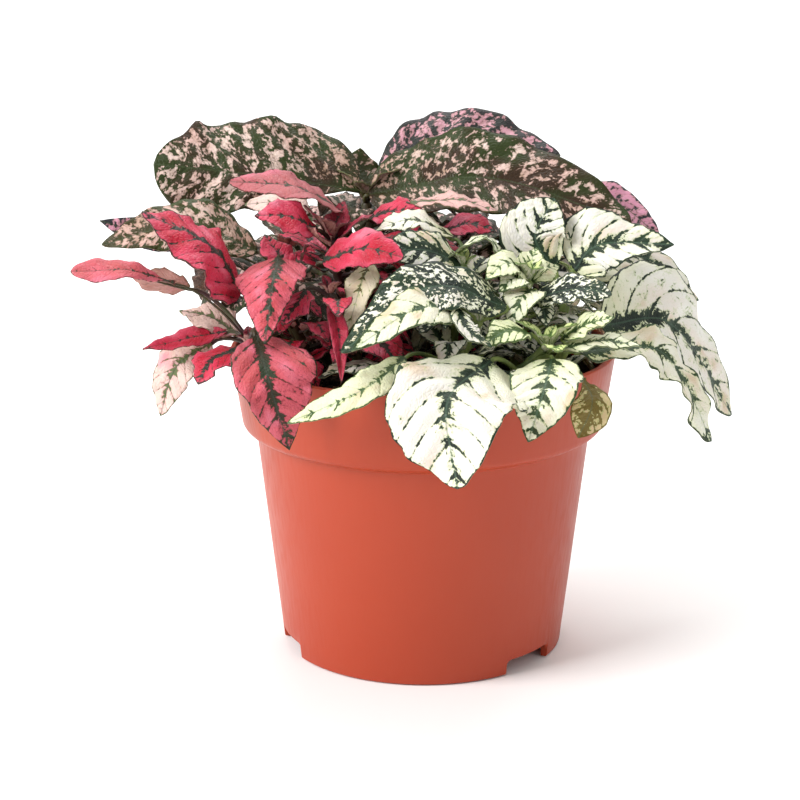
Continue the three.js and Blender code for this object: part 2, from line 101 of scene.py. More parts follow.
def close_material(tree, shader_inputs):
    """Closes a tree with the Principled shader and the output, and gives its material."""
    shader = add(tree, "BsdfPrincipled", shader_inputs)[0]
    add(tree, "OutputMaterial", {"Surface": shader})
    return next(m for m in bpy.data.materials if m.node_tree == tree)


def grid_quads(rows, columns, wrap=False):
    """The corners of each cell of a grid of points. If it wraps, its last column is joined to its first."""
    i, j = np.meshgrid(np.arange(rows - 1), np.arange(columns if wrap else columns - 1), indexing="ij")
    k = (j + 1) % columns
    corners = [i * columns + j, i * columns + k, (i + 1) * columns + k, (i + 1) * columns + j]
    return np.stack(corners, -1).reshape(-1, 4)


def split(quads):
    """Each quad as two triangles that share its first diagonal."""
    return np.concatenate([quads[:, [0, 1, 2]], quads[:, [0, 2, 3]]])


def outward(points, faces):
    """The faces turned to face out: the volume they enclose, summed over their triangles, is positive."""
    triangles = faces if faces.shape[1] == 3 else split(faces)
    a, b, c = (points[triangles[:, k]] for k in range(3))
    return faces if np.sum(a * np.cross(b, c)) > 0 else faces[:, ::-1]


def put(name, data):
    """A new object in the scene, at the origin."""
    thing = bpy.data.objects.new(name, data)
    bpy.context.scene.collection.objects.link(thing)
    return thing


def make_piece(name, points, faces, materials, face_materials=None, attributes=None):
    """A smooth mesh object from points in millimetres and faces, with vector attributes on its points."""
    mesh = bpy.data.meshes.new(name)
    mesh.from_pydata((points * MM).tolist(), [], faces.tolist())
    for key, values in (attributes or {}).items():
        mesh.attributes.new(key, "FLOAT_VECTOR", "POINT").data.foreach_set("vector", values.ravel())
    for material in materials:
        mesh.materials.append(material)
    if face_materials is not None:
        mesh.polygons.foreach_set("material_index", face_materials)
    mesh.shade_smooth()
    return put(name, mesh)


def turned_piece(name, x, y, z, material):
    """A closed piece whose rows of points run round the pot's axis. Those on the axis are merged."""
    points = np.stack([x, y, z], -1).reshape(-1, 3)
    piece = make_piece(name, points, outward(points, grid_quads(*z.shape, wrap=True)), [material])
    soft = bmesh.new()
    soft.from_mesh(piece.data)
    bmesh.ops.remove_doubles(soft, verts=soft.verts, dist=MERGE_DISTANCE * MM)
    soft.to_mesh(piece.data)
    soft.free()
    return piece


def joined(bodies):
    """The points and the faces of several bodies as those of one."""
    starts = np.cumsum([0] + [len(body[0]) for body in bodies])
    faces = np.vstack([body[1] + start for body, start in zip(bodies, starts)])
    return np.vstack([body[0] for body in bodies]), faces


def rounded_profile(corners, steps=5):
    """A line through (radius, height, rounding) corners, each cut by a short parabola of that rounding."""
    line = [corners[0][:2]]
    for before, corner, after in zip(corners, corners[1:], corners[2:]):
        here = np.array(corner[:2])
        start = here + (np.array(before[:2]) - here) * corner[2] / math.dist(before[:2], corner[:2])
        end = here + (np.array(after[:2]) - here) * corner[2] / math.dist(after[:2], corner[:2])
        for u in np.linspace(0, 1, steps if corner[2] else 1):
            line.append(tuple((1 - u) ** 2 * start + 2 * u * (1 - u) * here + u ** 2 * end))
    line.append(corners[-1][:2])
    return np.array(line)


def refine(line, longest):
    """The line with points added so that no step is longer than given."""
    out = [line[:1]]
    for a, b in zip(line, line[1:]):
        n = max(int(np.ceil(np.linalg.norm(b - a) / longest)), 1)
        out.append(a + (b - a) * (np.arange(1, n + 1) / n)[:, None])
    return np.vstack(out)


def notch_lift(azimuth):
    """How high the foot's edge is lifted at an azimuth in degrees: a doorway with round upper corners."""
    step = 360 / NOTCH_COUNT
    off = np.abs((azimuth - NOTCH_FIRST_AZIMUTH + step / 2) % step - step / 2)
    inside = np.clip((NOTCH_HALF_ANGLE - off) / NOTCH_CORNER_ANGLE, 0, 1)
    corner = NOTCH_HEIGHT * (0.5 + 0.5 * np.sqrt(1 - (1 - inside) ** 2))
    return np.where(off < NOTCH_HALF_ANGLE, corner, 0)


def pot_azimuths():
    """Even azimuths, with more of them at each notch's two edges, where the foot's height changes at once."""
    even = np.arange(POT_COLUMNS) * 360 / POT_COLUMNS
    edge = np.concatenate([[-0.03, 0.03], NOTCH_CORNER_ANGLE * np.linspace(0.04, 1, 7) ** 1.5])
    close = []
    for i in range(NOTCH_COUNT):
        middle = NOTCH_FIRST_AZIMUTH + i * 360 / NOTCH_COUNT
        close += [middle - NOTCH_HALF_ANGLE + edge, middle + NOTCH_HALF_ANGLE - edge]
    return np.unique(np.round(np.concatenate([even, *close]) % 360, 3))


def pot_plastic():
    """Satin moulded polypropylene: faintly clouded, with fine scuffs up the wall and a soft gloss."""
    tree = new_tree("terracotta_polypropylene_moulded")
    place = add(tree, "TexCoord")["Object"]
    cloud = add(tree, "TexNoise", {"Vector": place, "Scale": 28.0, "Detail": 3.0})[0]
    colour = add(tree, "Mix", {0: cloud, 6: linear("#A43A1F"), 7: linear("#AB4124")}, data_type="RGBA")[2]
    upright = add(tree, "Mapping", {"Vector": place, "Scale": (1.0, 1.0, 0.12)})[0]
    scuff = add(tree, "TexNoise", {"Vector": upright, "Scale": 900.0, "Detail": 2.0})[0]
    grain = add(tree, "TexNoise", {"Vector": place, "Scale": 1400.0, "Detail": 1.0})[0]
    roughness = add(tree, "MapRange", {0: scuff, 1: 0.35, 2: 0.75, 3: 0.36, 4: 0.5})[0]
    height = add(tree, "Math", {0: scuff, 1: grain}, operation="ADD")[0]
    bump = add(tree, "Bump", {"Strength": 0.12, "Distance": 0.0001, "Height": height})[0]
    return close_material(tree, {
        "Base Color": colour, "Roughness": roughness, "IOR": 1.49, "Specular IOR Level": 0.35, "Normal": bump,
        "Subsurface Weight": 0.12, "Subsurface Radius": (0.003, 0.0012, 0.0008), "Subsurface Scale": 1.0,
    })


def make_pot():
    """The pot's section turned about +Z, with the foot's lowest rows lifted at the notches, and drilled."""
    section = refine(rounded_profile([
        (0.0, FLOOR_Z, 0),
        (FOOT_RADIUS - FOOT_WALL, FLOOR_Z, 0.4),
        (FOOT_RADIUS - FOOT_WALL, 0.0, 0.3),
        (FOOT_RADIUS, 0.0, ROUNDING),
        (NECK_RADIUS, BAND_Z - BAND_STEP, 0.5),
        (BAND_RADIUS, BAND_Z - 0.55 * BAND_STEP, 1.6),
        (RIM_RADIUS, POT_HEIGHT, ROUNDING),
        (RIM_RADIUS - RIM_WALL, POT_HEIGHT, ROUNDING),
        (BAND_RADIUS - POT_WALL, BAND_Z + POT_WALL, 1.5),
        (NECK_RADIUS - POT_WALL, BAND_Z - BAND_STEP + POT_WALL, 0.5),
        (FOOT_RADIUS - POT_WALL, FLOOR_Z + FLOOR_WALL, 1.0),
        (0.0, FLOOR_Z + FLOOR_WALL, 0),
    ]), 4.0)
    azimuth = pot_azimuths()
    radius, height = section[:, :1], section[:, 1:]
    squeeze = np.clip(1 - height / FLOOR_Z, 0, 1)
    foot = radius > FOOT_RADIUS - FOOT_WALL - 0.5
    lifted = np.where(foot, height + notch_lift(azimuth)[None] * squeeze, height)
    turn = np.radians(azimuth)[None]
    pot = turned_piece("pot_shell", radius * np.cos(turn), radius * np.sin(turn), lifted, pot_plastic())

    drill = np.arange(DRILL_SIDES) * 2 * np.pi / DRILL_SIDES
    rings, faces = [], []
    for i in range(DRAIN_COUNT):
        centre = i * 2 * np.pi / DRAIN_COUNT
        x = DRAIN_RING_RADIUS * np.cos(centre) + DRAIN_RADIUS * np.cos(drill)
        y = DRAIN_RING_RADIUS * np.sin(centre) + DRAIN_RADIUS * np.sin(drill)
        for z in (FLOOR_Z - 1, FLOOR_Z + FLOOR_WALL + 1):
            rings.append(np.stack([x, y, np.full(DRILL_SIDES, z)], -1))
        low = 2 * DRILL_SIDES * i + np.arange(DRILL_SIDES)
        high = low + DRILL_SIDES
        faces += np.stack([low, np.roll(low, -1), np.roll(high, -1), high], -1).tolist()
        faces += [low[::-1].tolist(), high.tolist()]
    drills = bpy.data.meshes.new("drills")
    drills.from_pydata((np.vstack(rings) * MM).tolist(), [], faces)
    cutter = put("drills", drills)
    cut = pot.modifiers.new("drain_holes", "BOOLEAN")
    cut.object = cutter
    cut.operation = "DIFFERENCE"
    cut.solver = "EXACT"
    bpy.context.view_layer.update()
    drilled = bpy.data.meshes.new_from_object(pot.evaluated_get(bpy.context.evaluated_depsgraph_get()))
    pot.modifiers.clear()
    pot.data = drilled
    drilled.set_sharp_from_angle(angle=math.radians(SHARP_ANGLE))
    bpy.data.objects.remove(cutter)
    return pot


pot = make_pot()
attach(pot, "root")
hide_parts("pot")

# Potting mix
# Dark, moist peat that settled in the pot about a centimetre under the rim, with crumbs and short
# fibres on its top. It was filled loose and pressed down round the roots.
SOIL_Z = 85.0
SOIL_GAP = 0.3
LUMP_HEIGHT = 1.2
FINE_LUMP_HEIGHT = 0.55
FINE_LUMP_LENGTHS = (3.1, 1.9, 1.2, 0.8)
SOIL_RINGS = 60
SOIL_COLUMNS = 200
CRUMB_COUNT = 1500
SMALLEST_CRUMB = 0.35
CRUMB_GROWTH = 0.9
FIBRE_COUNT = 110
FIBRE_SPREAD = 50.0
FIBRE_HALF_LENGTHS = (1.5, 4.5)
FIBRE_RADII = (0.12, 0.3)


def soil_height(x, y):
    """The top of the mix: broad sine lumps, and four crossed waves, each finer and lower than the last."""
    height = SOIL_Z + LUMP_HEIGHT * (np.sin(x / 5) * np.cos(y / 6 + 1) + np.sin((x + y) / 9))
    for k, length in enumerate(FINE_LUMP_LENGTHS):
        lift = FINE_LUMP_HEIGHT * 0.62 ** k
        bent = y / length - 1.3 * k + 0.6 * np.sin(x / 4.0)
        height = height + lift * np.sin(x / length + 2.1 * k) * np.sin(bent)
    return height


def peat():
    """Moist peat: brown-black crumbs with paler dry bits, wholly matt."""
    tree = new_tree("peat_potting_mix")
    place = add(tree, "TexCoord")["Object"]
    crumbs = add(tree, "TexNoise", {"Vector": place, "Scale": 420.0, "Detail": 6.0, "Roughness": 0.7})[0]
    patches = add(tree, "TexNoise", {"Vector": place, "Scale": 60.0, "Detail": 2.0})[0]
    shade = add(tree, "MapRange", {0: crumbs, 1: 0.35, 2: 0.7})[0]
    dark = add(tree, "Mix", {0: shade, 6: linear("#1C1510"), 7: linear("#4A382B")}, data_type="RGBA")[2]
    moist = add(tree, "MapRange", {0: patches, 1: 0.4, 2: 0.65, 4: 0.45})[0]
    colour = add(tree, "Mix", {0: moist, 6: dark, 7: linear("#2A2019")}, data_type="RGBA")[2]
    bump = add(tree, "Bump", {"Strength": 0.8, "Distance": 0.0008, "Height": crumbs})[0]
    return close_material(tree, {
        "Base Color": colour, "Roughness": 0.95, "Specular IOR Level": 0.2, "Normal": bump,
    })


def peat_fibre():
    """Dry peat fibre and bark slivers: light brown, streaked along, matt."""
    tree = new_tree("peat_fibre_dry")
    place = add(tree, "TexCoord")["Object"]
    streak = add(tree, "TexNoise", {"Vector": place, "Scale": 900.0, "Detail": 2.0})[0]
    colour = add(tree, "Mix", {0: streak, 6: linear("#4E3B2A"), 7: linear("#8A6E50")}, data_type="RGBA")[2]
    return close_material(tree, {"Base Color": colour, "Roughness": 0.9})


def make_soil():
    """The mix as a closed turned body whose top follows soil_height."""
    wall = POT_WALL + SOIL_GAP
    bottom = FLOOR_Z + FLOOR_WALL + SOIL_GAP
    side = np.array([
        (0.0, bottom),
        (FOOT_RADIUS - wall, bottom),
        (NECK_RADIUS - wall, BAND_Z - BAND_STEP + wall),
        (BAND_RADIUS - wall, BAND_Z + wall),
    ])
    top_radius = BAND_RADIUS - wall
    top = np.stack([top_radius * np.linspace(1, 0, SOIL_RINGS), np.full(SOIL_RINGS, SOIL_Z)], -1)
    section = np.vstack([refine(side, 12.0), top])
    turn = np.radians(np.arange(SOIL_COLUMNS) * 360 / SOIL_COLUMNS)[None]
    x = section[:, :1] * np.cos(turn)
    y = section[:, :1] * np.sin(turn)
    z = np.where(section[:, 1:] == SOIL_Z, soil_height(x, y), section[:, 1:])
    return turned_piece("peat_body", x, y, z, peat())


def make_crumbs():
    """Peat crumbs: small squashed cubes with pulled corners, strewn on the mix and half sunk in it."""
    rng = np.random.default_rng(11)
    cube = np.array([(x, y, z) for x in (-1, 1) for y in (-1, 1) for z in (-1, 1)], float)
    sides = np.array([(0, 1, 3, 2), (4, 6, 7, 5), (0, 4, 5, 1), (2, 3, 7, 6), (0, 2, 6, 4), (1, 5, 7, 3)])
    away = (BAND_RADIUS - POT_WALL - 2) * np.sqrt(rng.random(CRUMB_COUNT))
    turn = rng.random(CRUMB_COUNT) * 2 * np.pi
    x0, y0 = (away * np.cos(turn))[:, None], (away * np.sin(turn))[:, None]
    size = SMALLEST_CRUMB + CRUMB_GROWTH * rng.random(CRUMB_COUNT) ** 3
    shape = cube[None] * rng.uniform(0.45, 1.0, (CRUMB_COUNT, 8, 3)) * size[:, None, None]
    spin = (rng.random(CRUMB_COUNT) * 2 * np.pi)[:, None]
    x = shape[..., 0] * np.cos(spin) - shape[..., 1] * np.sin(spin) + x0
    y = shape[..., 0] * np.sin(spin) + shape[..., 1] * np.cos(spin) + y0
    z = 0.8 * shape[..., 2] + soil_height(x0, y0) + 0.2
    points = np.stack([x, y, z], -1).reshape(-1, 3)
    quads = (sides[None] + 8 * np.arange(CRUMB_COUNT)[:, None, None]).reshape(-1, 4)
    return make_piece("peat_crumbs", points, outward(points, quads), [bpy.data.materials["peat_potting_mix"]])


def tube(path, radius, reference, sides):
    """A round rod along a path, closed at both ends with quads. Each ring lies square to the path, with its
    first point towards the reference direction."""
    tangent = np.gradient(path, axis=0)
    tangent /= np.linalg.norm(tangent, axis=1, keepdims=True)
    first = reference - np.sum(reference * tangent, 1, keepdims=True) * tangent
    first /= np.linalg.norm(first, axis=1, keepdims=True)
    second = np.cross(tangent, first)
    turn = np.arange(sides) * 2 * np.pi / sides
    ring = first[:, None] * np.cos(turn)[None, :, None] + second[:, None] * np.sin(turn)[None, :, None]
    points = (path[:, None] + ring * radius[:, None, None]).reshape(-1, 3)
    across = np.arange(sides // 2 - 1)
    cap = np.stack([across, across + 1, sides - 2 - across, sides - 1 - across], -1)
    quads = np.vstack([grid_quads(len(path), sides, wrap=True), cap[:, ::-1], cap + (len(path) - 1) * sides])
    return points, outward(points, quads)


def make_fibres():
    """Peat fibres: thin bent rods lying on the mix at seeded places."""
    rng = np.random.default_rng(5)
    rods = []
    for _ in range(FIBRE_COUNT):
        away = FIBRE_SPREAD * np.sqrt(rng.random())
        turn, aim, bend = rng.random(3) * 2 * np.pi
        reach = np.linspace(-1, 1, 6) * rng.uniform(*FIBRE_HALF_LENGTHS)
        x = away * np.cos(turn) + reach * np.cos(aim) + 0.6 * np.sin(reach / 2 + bend)
        y = away * np.sin(turn) + reach * np.sin(aim)
        path = np.stack([x, y, soil_height(x, y) + 0.25], -1)
        rods.append(tube(path, np.full(6, rng.uniform(*FIBRE_RADII)), UP, 6))
    return make_piece("peat_fibres", *joined(rods), [peat_fibre()])


soil = make_soil()
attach(soil, "root")
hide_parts("potting_mix")
for strewn in (make_crumbs(), make_fibres()):
    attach(strewn, "root")

# Leaves and stems of all three plants
# A polka dot plant has soft square-shouldered stems with leaves in pairs: thin blades with a sunk midrib,
# puckered between the side veins, with waved edges. Each blade is one thin closed sheet on a round stalk.
STEM_RADIUS = 1.5
STEM_END_Z = 68.0
STEM_BEND_Z = 83.3
STEM_SURFACE_Z = 92.0
JOINT_SWELLING = 0.28
JOINT_REACH = 1.4
HIGHEST_STALK_SHARE = 0.97
STALK_RADIUS = 0.75
STALK_CLIMB = 0.35
STALK_LEAD = 0.4
RIB_END = 0.88
SIDE_LEAF_RISE = 25.0
BUD_SIZE = 5.2
LOWEST_LEAF_Z = 94.0
LEVEL_RISE = 6.0
RIM_CLEARANCE = 4.0
SOIL_CLEARANCE = 3.0
CELL = 1.5
BLOCK_CORNER = (-120, -105, 60)
BLOCK_CELLS = (160, 140, 110)
ROW_LENGTH = 1.1
COLUMN_WIDTH = 2.2
NARROWEST = 0.12
LEAF_PHASE = 1.3
FAR_EDGE_PHASE = 1.9
LOBE_PLACE = 0.8
LOBE_REACH = 0.04
EDGE_THICKNESS = 0.3
RIB_THICKNESS = 0.5
RIB_REACH = 2.0
GROOVE_DEPTH = 0.25
GROOVE_REACH = 0.7
VEINS_ALONG = 6.0
CLOSEST_VEINS = 1.6
VEIN_SLOPE = 0.7
VEIN_ARCH = 0.45
GRAIN_SLOPE = 0.35
FULL_MARKS_WIDTH = 20.0
PLAIN_FORM = {
    "lean": 0, "twist": 0, "fold": 8, "cup": -0.1, "waves": 2.5, "peak": 0.42, "full": 0.9, "part": 0.5,
    "dark": 0.5, "young": 0.0, "shade": 0.0, "crumple": 0.16, "petiole": 1.0, "bulge": 0.0,
}
PLAIN_LOOKS = {
    "stretch": 0.8, "warp": 0.4, "fleck": 1.0, "speckle": 0.0, "vein_reach": 0.8, "midrib_tip": 0.45,
    "rim_show": 0.6, "halo_reach": 0.4, "halo_show": 0.6, "rib_show": 0.5, "gloss": 0.4,
}


def leaf(foot, crown, tip, width, **form):
    """A leaf by three points of its midrib and its full width in millimetres. lean and twist turn the blade
    about its midrib, fold lifts its halves, cup bends them, and wave and waves are the height and number of
    its edge's waves. peak is where it is widest (peakNear where the near half is), full how blunt its ends
    are, part the far half's share of the width. dark, young and shade tell its colours from its
    neighbours', crumple is the height of its dents, petiole its stalk's relative thickness, bulge the
    height of a lobe on its far edge."""
    wave = 0.3 + 0.035 * width
    return {"foot": foot, "crown": crown, "tip": tip, "width": width, "wave": wave, **PLAIN_FORM, **form}


def leafy_stem(root, top, dark=0.5, shade=0.0, bud=BUD_SIZE, leaves=(), sides=()):
    """A stem by its place in the mix and its top. sides holds rows for side_leaf."""
    return dict(root=root, top=top, dark=dark, shade=shade, bud=bud, leaves=leaves, sides=sides)


def stem_point(stem, z):
    """The place on a stem's line at a height, on the straight part above the potting mix."""
    surface = np.array([*stem["root"], STEM_SURFACE_Z])
    climb = stem["top"] - surface
    return surface + climb * np.clip((z - surface[2]) / climb[2], 0, HIGHEST_STALK_SHARE)


def heading(azimuth):
    """The level direction at an azimuth in degrees from the front towards +X."""
    return np.array([math.sin(math.radians(azimuth)), -math.cos(math.radians(azimuth)), 0])


def side_leaf(stem, azimuth, foot_z, stalk, length, hang, width, **form):
    """A leaf grown by a rule: away from the stem at an azimuth, rising to its crown and then falling."""
    away = heading(azimuth)
    foot = stem_point(stem, foot_z - stalk * STALK_CLIMB) + away * stalk
    foot[2] = foot_z
    rise, fall = math.radians(SIDE_LEAF_RISE), math.radians(hang)
    crown = foot + length / 2 * (away * math.cos(rise) + UP * math.sin(rise))
    tip = crown + length / 2 * (away * math.cos(fall) - UP * math.sin(fall))
    return leaf(foot, crown, tip, width, **form)


def smooth_line(knots, t):
    """A Catmull-Rom line through the knots at shares t of it, with unit tangents. Its ends are straight."""
    knots = np.array(knots, float)
    spans = len(knots) - 1
    padded = np.vstack([2 * knots[0] - knots[1], knots, 2 * knots[-1] - knots[-2]])
    at = np.clip(t, 0, 1) * spans
    i = np.minimum(at.astype(int), spans - 1)
    w = (at - i)[..., None]
    p0, p1, p2, p3 = (padded[i + k] for k in range(4))
    m1, m2 = (p2 - p0) / 2, (p3 - p1) / 2
    bend, twist = 3 * (p2 - p1) - 2 * m1 - m2, 2 * (p1 - p2) + m1 + m2
    speed = m1 + w * (2 * bend + 3 * w * twist)
    return p1 + w * (m1 + w * (bend + w * twist)), speed / np.linalg.norm(speed, axis=-1, keepdims=True)


def half_share(t, peak, full):
    """Half a blade's width at shares t of its length: a sine stretched so that it is widest at the peak."""
    return np.clip(np.sin(np.pi * t ** (math.log(0.5) / math.log(peak))), 0, 1) ** full


def midrib(form, t):
    """The midrib at shares t, with the blade's side and upward directions and the midrib's tangent there."""
    foot, crown, tip = (np.array(form[k], float) for k in ("foot", "crown", "tip"))
    middle, tangent = smooth_line([foot, crown, tip], t)
    chord = tip - foot
    level = np.array([chord[1], -chord[0], 0]) / math.hypot(chord[0], chord[1])
    up = np.cross(level, tangent)
    up /= np.linalg.norm(up, axis=-1, keepdims=True)
    out = np.cross(tangent, up)
    turn = np.radians(form["lean"] + form["twist"] * (t - 0.5))[..., None]
    side = out * np.cos(turn) + up * np.sin(turn)
    return middle, side, up * np.cos(turn) - out * np.sin(turn), tangent


def blade(form, phase, seed):
    """A blade as a closed thin sheet. At share t along and s across, the point lies half * s from the
    midrib, lifted by the fold, the cup, the edge's waves times s squared, dents, and a pucker that is a
    cosine of the side veins' count. Two short sines scallop the edge. A small leaf's markings lie closer
    together."""
    width = form["width"]
    length = math.dist(form["foot"], form["crown"]) + math.dist(form["crown"], form["tip"])
    rows = int(np.clip(length / ROW_LENGTH, 14, 52))
    columns = 2 * int(np.clip(width / COLUMN_WIDTH, 4, 16)) + 1
    u = np.linspace(0, 1, rows)[:, None]
    t = 0.6 * u + 0.4 * (0.5 - 0.5 * np.cos(np.pi * u))
    t, s = np.broadcast_arrays(t, np.linspace(-1, 1, columns)[None])
    middle, side, normal, _ = midrib(form, t)
    far = s > 0
    near_peak = form.get("peakNear", form["peak"])
    outline = np.where(far, half_share(t, form["peak"], form["full"]), half_share(t, near_peak, form["full"]))
    half = width * np.where(far, form["part"], 1 - form["part"]) * outline
    scallop = 0.022 * np.sin(27 * t + 2 * seed + 3 * np.sign(s))
    scallop = scallop + 0.012 * np.sin(61 * t + seed + 2 * np.sign(s))
    lobe = form["bulge"] * np.exp(-((t - LOBE_PLACE) / LOBE_REACH) ** 2)
    half = half * (1 + scallop) + np.where(far, lobe, 0)
    half = np.maximum(half, STALK_RADIUS * (1 - t) ** 8 + NARROWEST)
    x = half * s
    y = t * length
    spacing = max(length / VEINS_ALONG, CLOSEST_VEINS)
    vein_line = y - VEIN_SLOPE * np.abs(x) - VEIN_ARCH * x ** 2 / max(width / 2, 1)
    vein_count = vein_line / spacing + 0.37 * seed
    fold = math.radians(form["fold"])
    swell = np.sqrt(np.clip(np.sin(np.pi * t), 0, 1))
    shift = np.where(far, FAR_EDGE_PHASE, 0)
    ripple = np.sin(2 * np.pi * form["waves"] * t + phase + shift)
    frill = np.sin(2 * np.pi * 2.7 * form["waves"] * t + 2.3 * phase + 2 * shift)
    pucker = (0.12 + 0.013 * width) * swell * (1 - s ** 4) * np.clip(np.abs(x) / 1.5, 0, 1)
    dents = np.sin(y / 2.3 + 1.7 * seed) * np.sin(x / 2.9 + 0.9 * seed) + np.sin((y + x) / 4.1 + seed)
    lift = half * (np.abs(s) * math.sin(fold) + form["cup"] * s ** 2)
    lift = lift + form["wave"] * swell * (s ** 2 * ripple + 0.55 * s ** 4 * frill)
    lift = lift + form["crumple"] * swell * dents - pucker * np.cos(2 * np.pi * vein_count)
    lift = lift - GROOVE_DEPTH * np.exp(-(x / GROOVE_REACH) ** 2) * swell
    place = middle + side * (x * math.cos(fold))[..., None] + normal * lift[..., None]
    thickness = EDGE_THICKNESS + (RIB_THICKNESS - EDGE_THICKNESS) * np.exp(-(x / RIB_REACH) ** 2)
    half_thickness = normal * (thickness / 2)[..., None]
    points = np.concatenate([place + half_thickness, place - half_thickness]).reshape(-1, 3)

    one = split(grid_quads(rows, columns))
    index = np.arange(rows * columns).reshape(rows, columns)
    rim = np.concatenate([index[0, :-1], index[:-1, -1], index[-1, :0:-1], index[:0:-1, 0]])
    after = np.roll(rim, -1)
    around = np.stack([after, rim, rim + rows * columns, after + rows * columns], -1)
    faces = np.vstack([one, one[:, ::-1] + rows * columns, split(around)])

    edge = np.minimum(half * (1 - np.abs(s)), 0.8 * (1 - t) * length)
    marks = min(1.0, width / FULL_MARKS_WIDTH) ** 0.8
    facing = np.repeat([0.0, 1.0], t.size).reshape(2, *t.shape)
    channels = {
        "leaf_place": (y - GRAIN_SLOPE * np.abs(x), x, 7.3 * seed),
        "leaf_veins": (vein_count, spacing / marks, edge / marks),
        "leaf_tone": (form["dark"], form["young"], form["shade"]),
        "leaf_face": (t, facing, np.abs(x) / marks),
    }
    attributes = {}
    for key, three in channels.items():
        attributes[key] = np.stack(np.broadcast_arrays(*three, facing)[:3], -1).reshape(-1, 3)
    return points, outward(points, faces), attributes


def stalk(stem, form):
    """A leaf's stalk: a curve from the stem to the blade's foot, carried on under the midrib as its raised
    rib and tapering to nothing near the tip."""
    foot = np.array(form["foot"], float)
    reach = np.linalg.norm(foot - stem_point(stem, foot[2]))
    start = stem_point(stem, foot[2] - STALK_CLIMB * reach)
    t = np.linspace(0, RIB_END, 16)
    line, _, normal, tangent = midrib(form, t)
    lead = foot - tangent[0] * STALK_LEAD * np.linalg.norm(foot - start)
    u = np.linspace(0, 1, 9)[:-1, None]
    bow = (1 - u) ** 2 * start + 2 * u * (1 - u) * lead + u ** 2 * foot
    size = STALK_RADIUS * min(1.0, 0.55 + form["width"] / 40) * form["petiole"]
    rib = size * (0.16 + 0.74 * (1 - t / RIB_END) ** 1.5)
    path = np.vstack([bow, line - normal * (rib + 0.12 + 0.1 * np.minimum(t * 8, 1))[:, None]])
    radius = np.concatenate([size * (1.15 - 0.2 * u[:, 0]), rib])
    points, quads = tube(path, radius, normal[0], 8)
    return points, split(quads), start[2]


def stem_rod(stem, joints):
    """A stem: a round rod up its line, a little thicker at each leaf's stalk, and thinner towards its top."""
    x, y = stem["root"]
    top = np.array(stem["top"], float)
    surface = np.array([x, y, STEM_SURFACE_Z])
    knots = [(x, y, STEM_END_Z), (x, y, STEM_BEND_Z), surface, (surface + top) / 2, top]
    t = np.linspace(0, 1, 44)
    path, _ = smooth_line(knots, t)
    radius = STEM_RADIUS * (1 - 0.3 * t)
    for joint in joints:
        radius = radius + JOINT_SWELLING * np.exp(-((path[:, 2] - joint) / JOINT_REACH) ** 2)
    radius[-1] *= 0.4
    points, quads = tube(path, radius, np.array([1.0, 0, 0]), 12)
    return points, split(quads)


def bud_leaves(stem, rng):
    """The growing tip: two crossed pairs of very young leaves, standing steeply round the top of the stem."""
    start = rng.random() * 360
    young = []
    for k in range(4):
        away = heading(start + 90 * k + rng.uniform(-12, 12))
        size = stem["bud"] * (0.7 if k % 2 else 1)
        foot = stem["top"] + away * 0.6 - UP * 0.4
        crown = foot + size * (away * 0.35 + UP * 0.55)
        tip = crown + size * (away * 0.5 + UP * 0.25)
        young.append(leaf(foot, crown, tip, size * 0.62, young=1.0, dark=0.45, wave=0.03 * size, fold=20))
    return young


taken = np.zeros(BLOCK_CELLS, bool)


def cells(points):
    """The cells of the block of space over the pot that points lie in, as an index into taken."""
    at = np.floor((points.reshape(-1, 3) - BLOCK_CORNER) / CELL).astype(int)
    return tuple(np.clip(at, 0, np.array(BLOCK_CELLS) - 1).T)


def solid_points(node):
    """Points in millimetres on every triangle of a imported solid, at even steps a and b along two edges."""
    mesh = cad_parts[node].data
    mesh.calc_loop_triangles()
    places = np.array([vertex.co for vertex in mesh.vertices]) / MM
    triangle = places[np.array([triangle.vertices for triangle in mesh.loop_triangles])]
    a, b = np.meshgrid(np.linspace(0, 1, 10), np.linspace(0, 1, 10))
    a, b = a[a + b <= 1], b[a + b <= 1]
    first, along, beside = triangle[:, 0], triangle[:, 1] - triangle[:, 0], triangle[:, 2] - triangle[:, 0]
    return first[:, None] + along[:, None] * a[:, None] + beside[:, None] * b[:, None]


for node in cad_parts:
    if "_stem_" in node:
        taken[cells(solid_points(node))] = True


def sheet_points(form):
    """Points about a millimetre apart over a leaf's middle surface, away from its foot."""
    t, s = np.meshgrid(np.linspace(0.15, 1, 40), np.linspace(-1, 1, 25), indexing="ij")
    middle, side, normal, _ = midrib(form, t)
    half = form["width"] / 2 * half_share(t, form["peak"], form["full"])
    return middle + side * (half * s)[..., None] + normal * (half * np.abs(s) * 0.05)[..., None]


def lower_leaves(stem, rng):
    """The smaller leaves along a stem, from its foot up. A leaf turns on from its rule's azimuth until it
    is clear of other leaves and inside the pot's rim, then tries again shorter, or is left out."""
    grown = []
    start = rng.uniform(0, 360)
    for level, z in enumerate(np.arange(LOWEST_LEAF_Z, stem["top"][2] - 6, LEVEL_RISE)):
        for k in range(4):
            length = rng.uniform(17, 26)
            drop = rng.uniform(15, 70)
            dark = stem["dark"] + rng.uniform(-0.15, 0.2)
            for attempt in range(54):
                azimuth = start + 90 * k + 67 * level + 20 * attempt
                reach = length * (1, 0.75, 0.5)[attempt // 18]
                form = side_leaf(stem, azimuth, z + k, 0.25 * reach, reach, drop, 0.52 * reach, dark=dark)
                points = sheet_points(form)
                room = cells(points)
                inside = np.max(np.hypot(points[..., 0], points[..., 1])) < RIM_RADIUS - RIM_CLEARANCE
                above = points[..., 2].min() > SOIL_Z + SOIL_CLEARANCE
                if inside and above and not taken[room].any():
                    taken[room] = True
                    grown.append(form)
                    break
    return grown


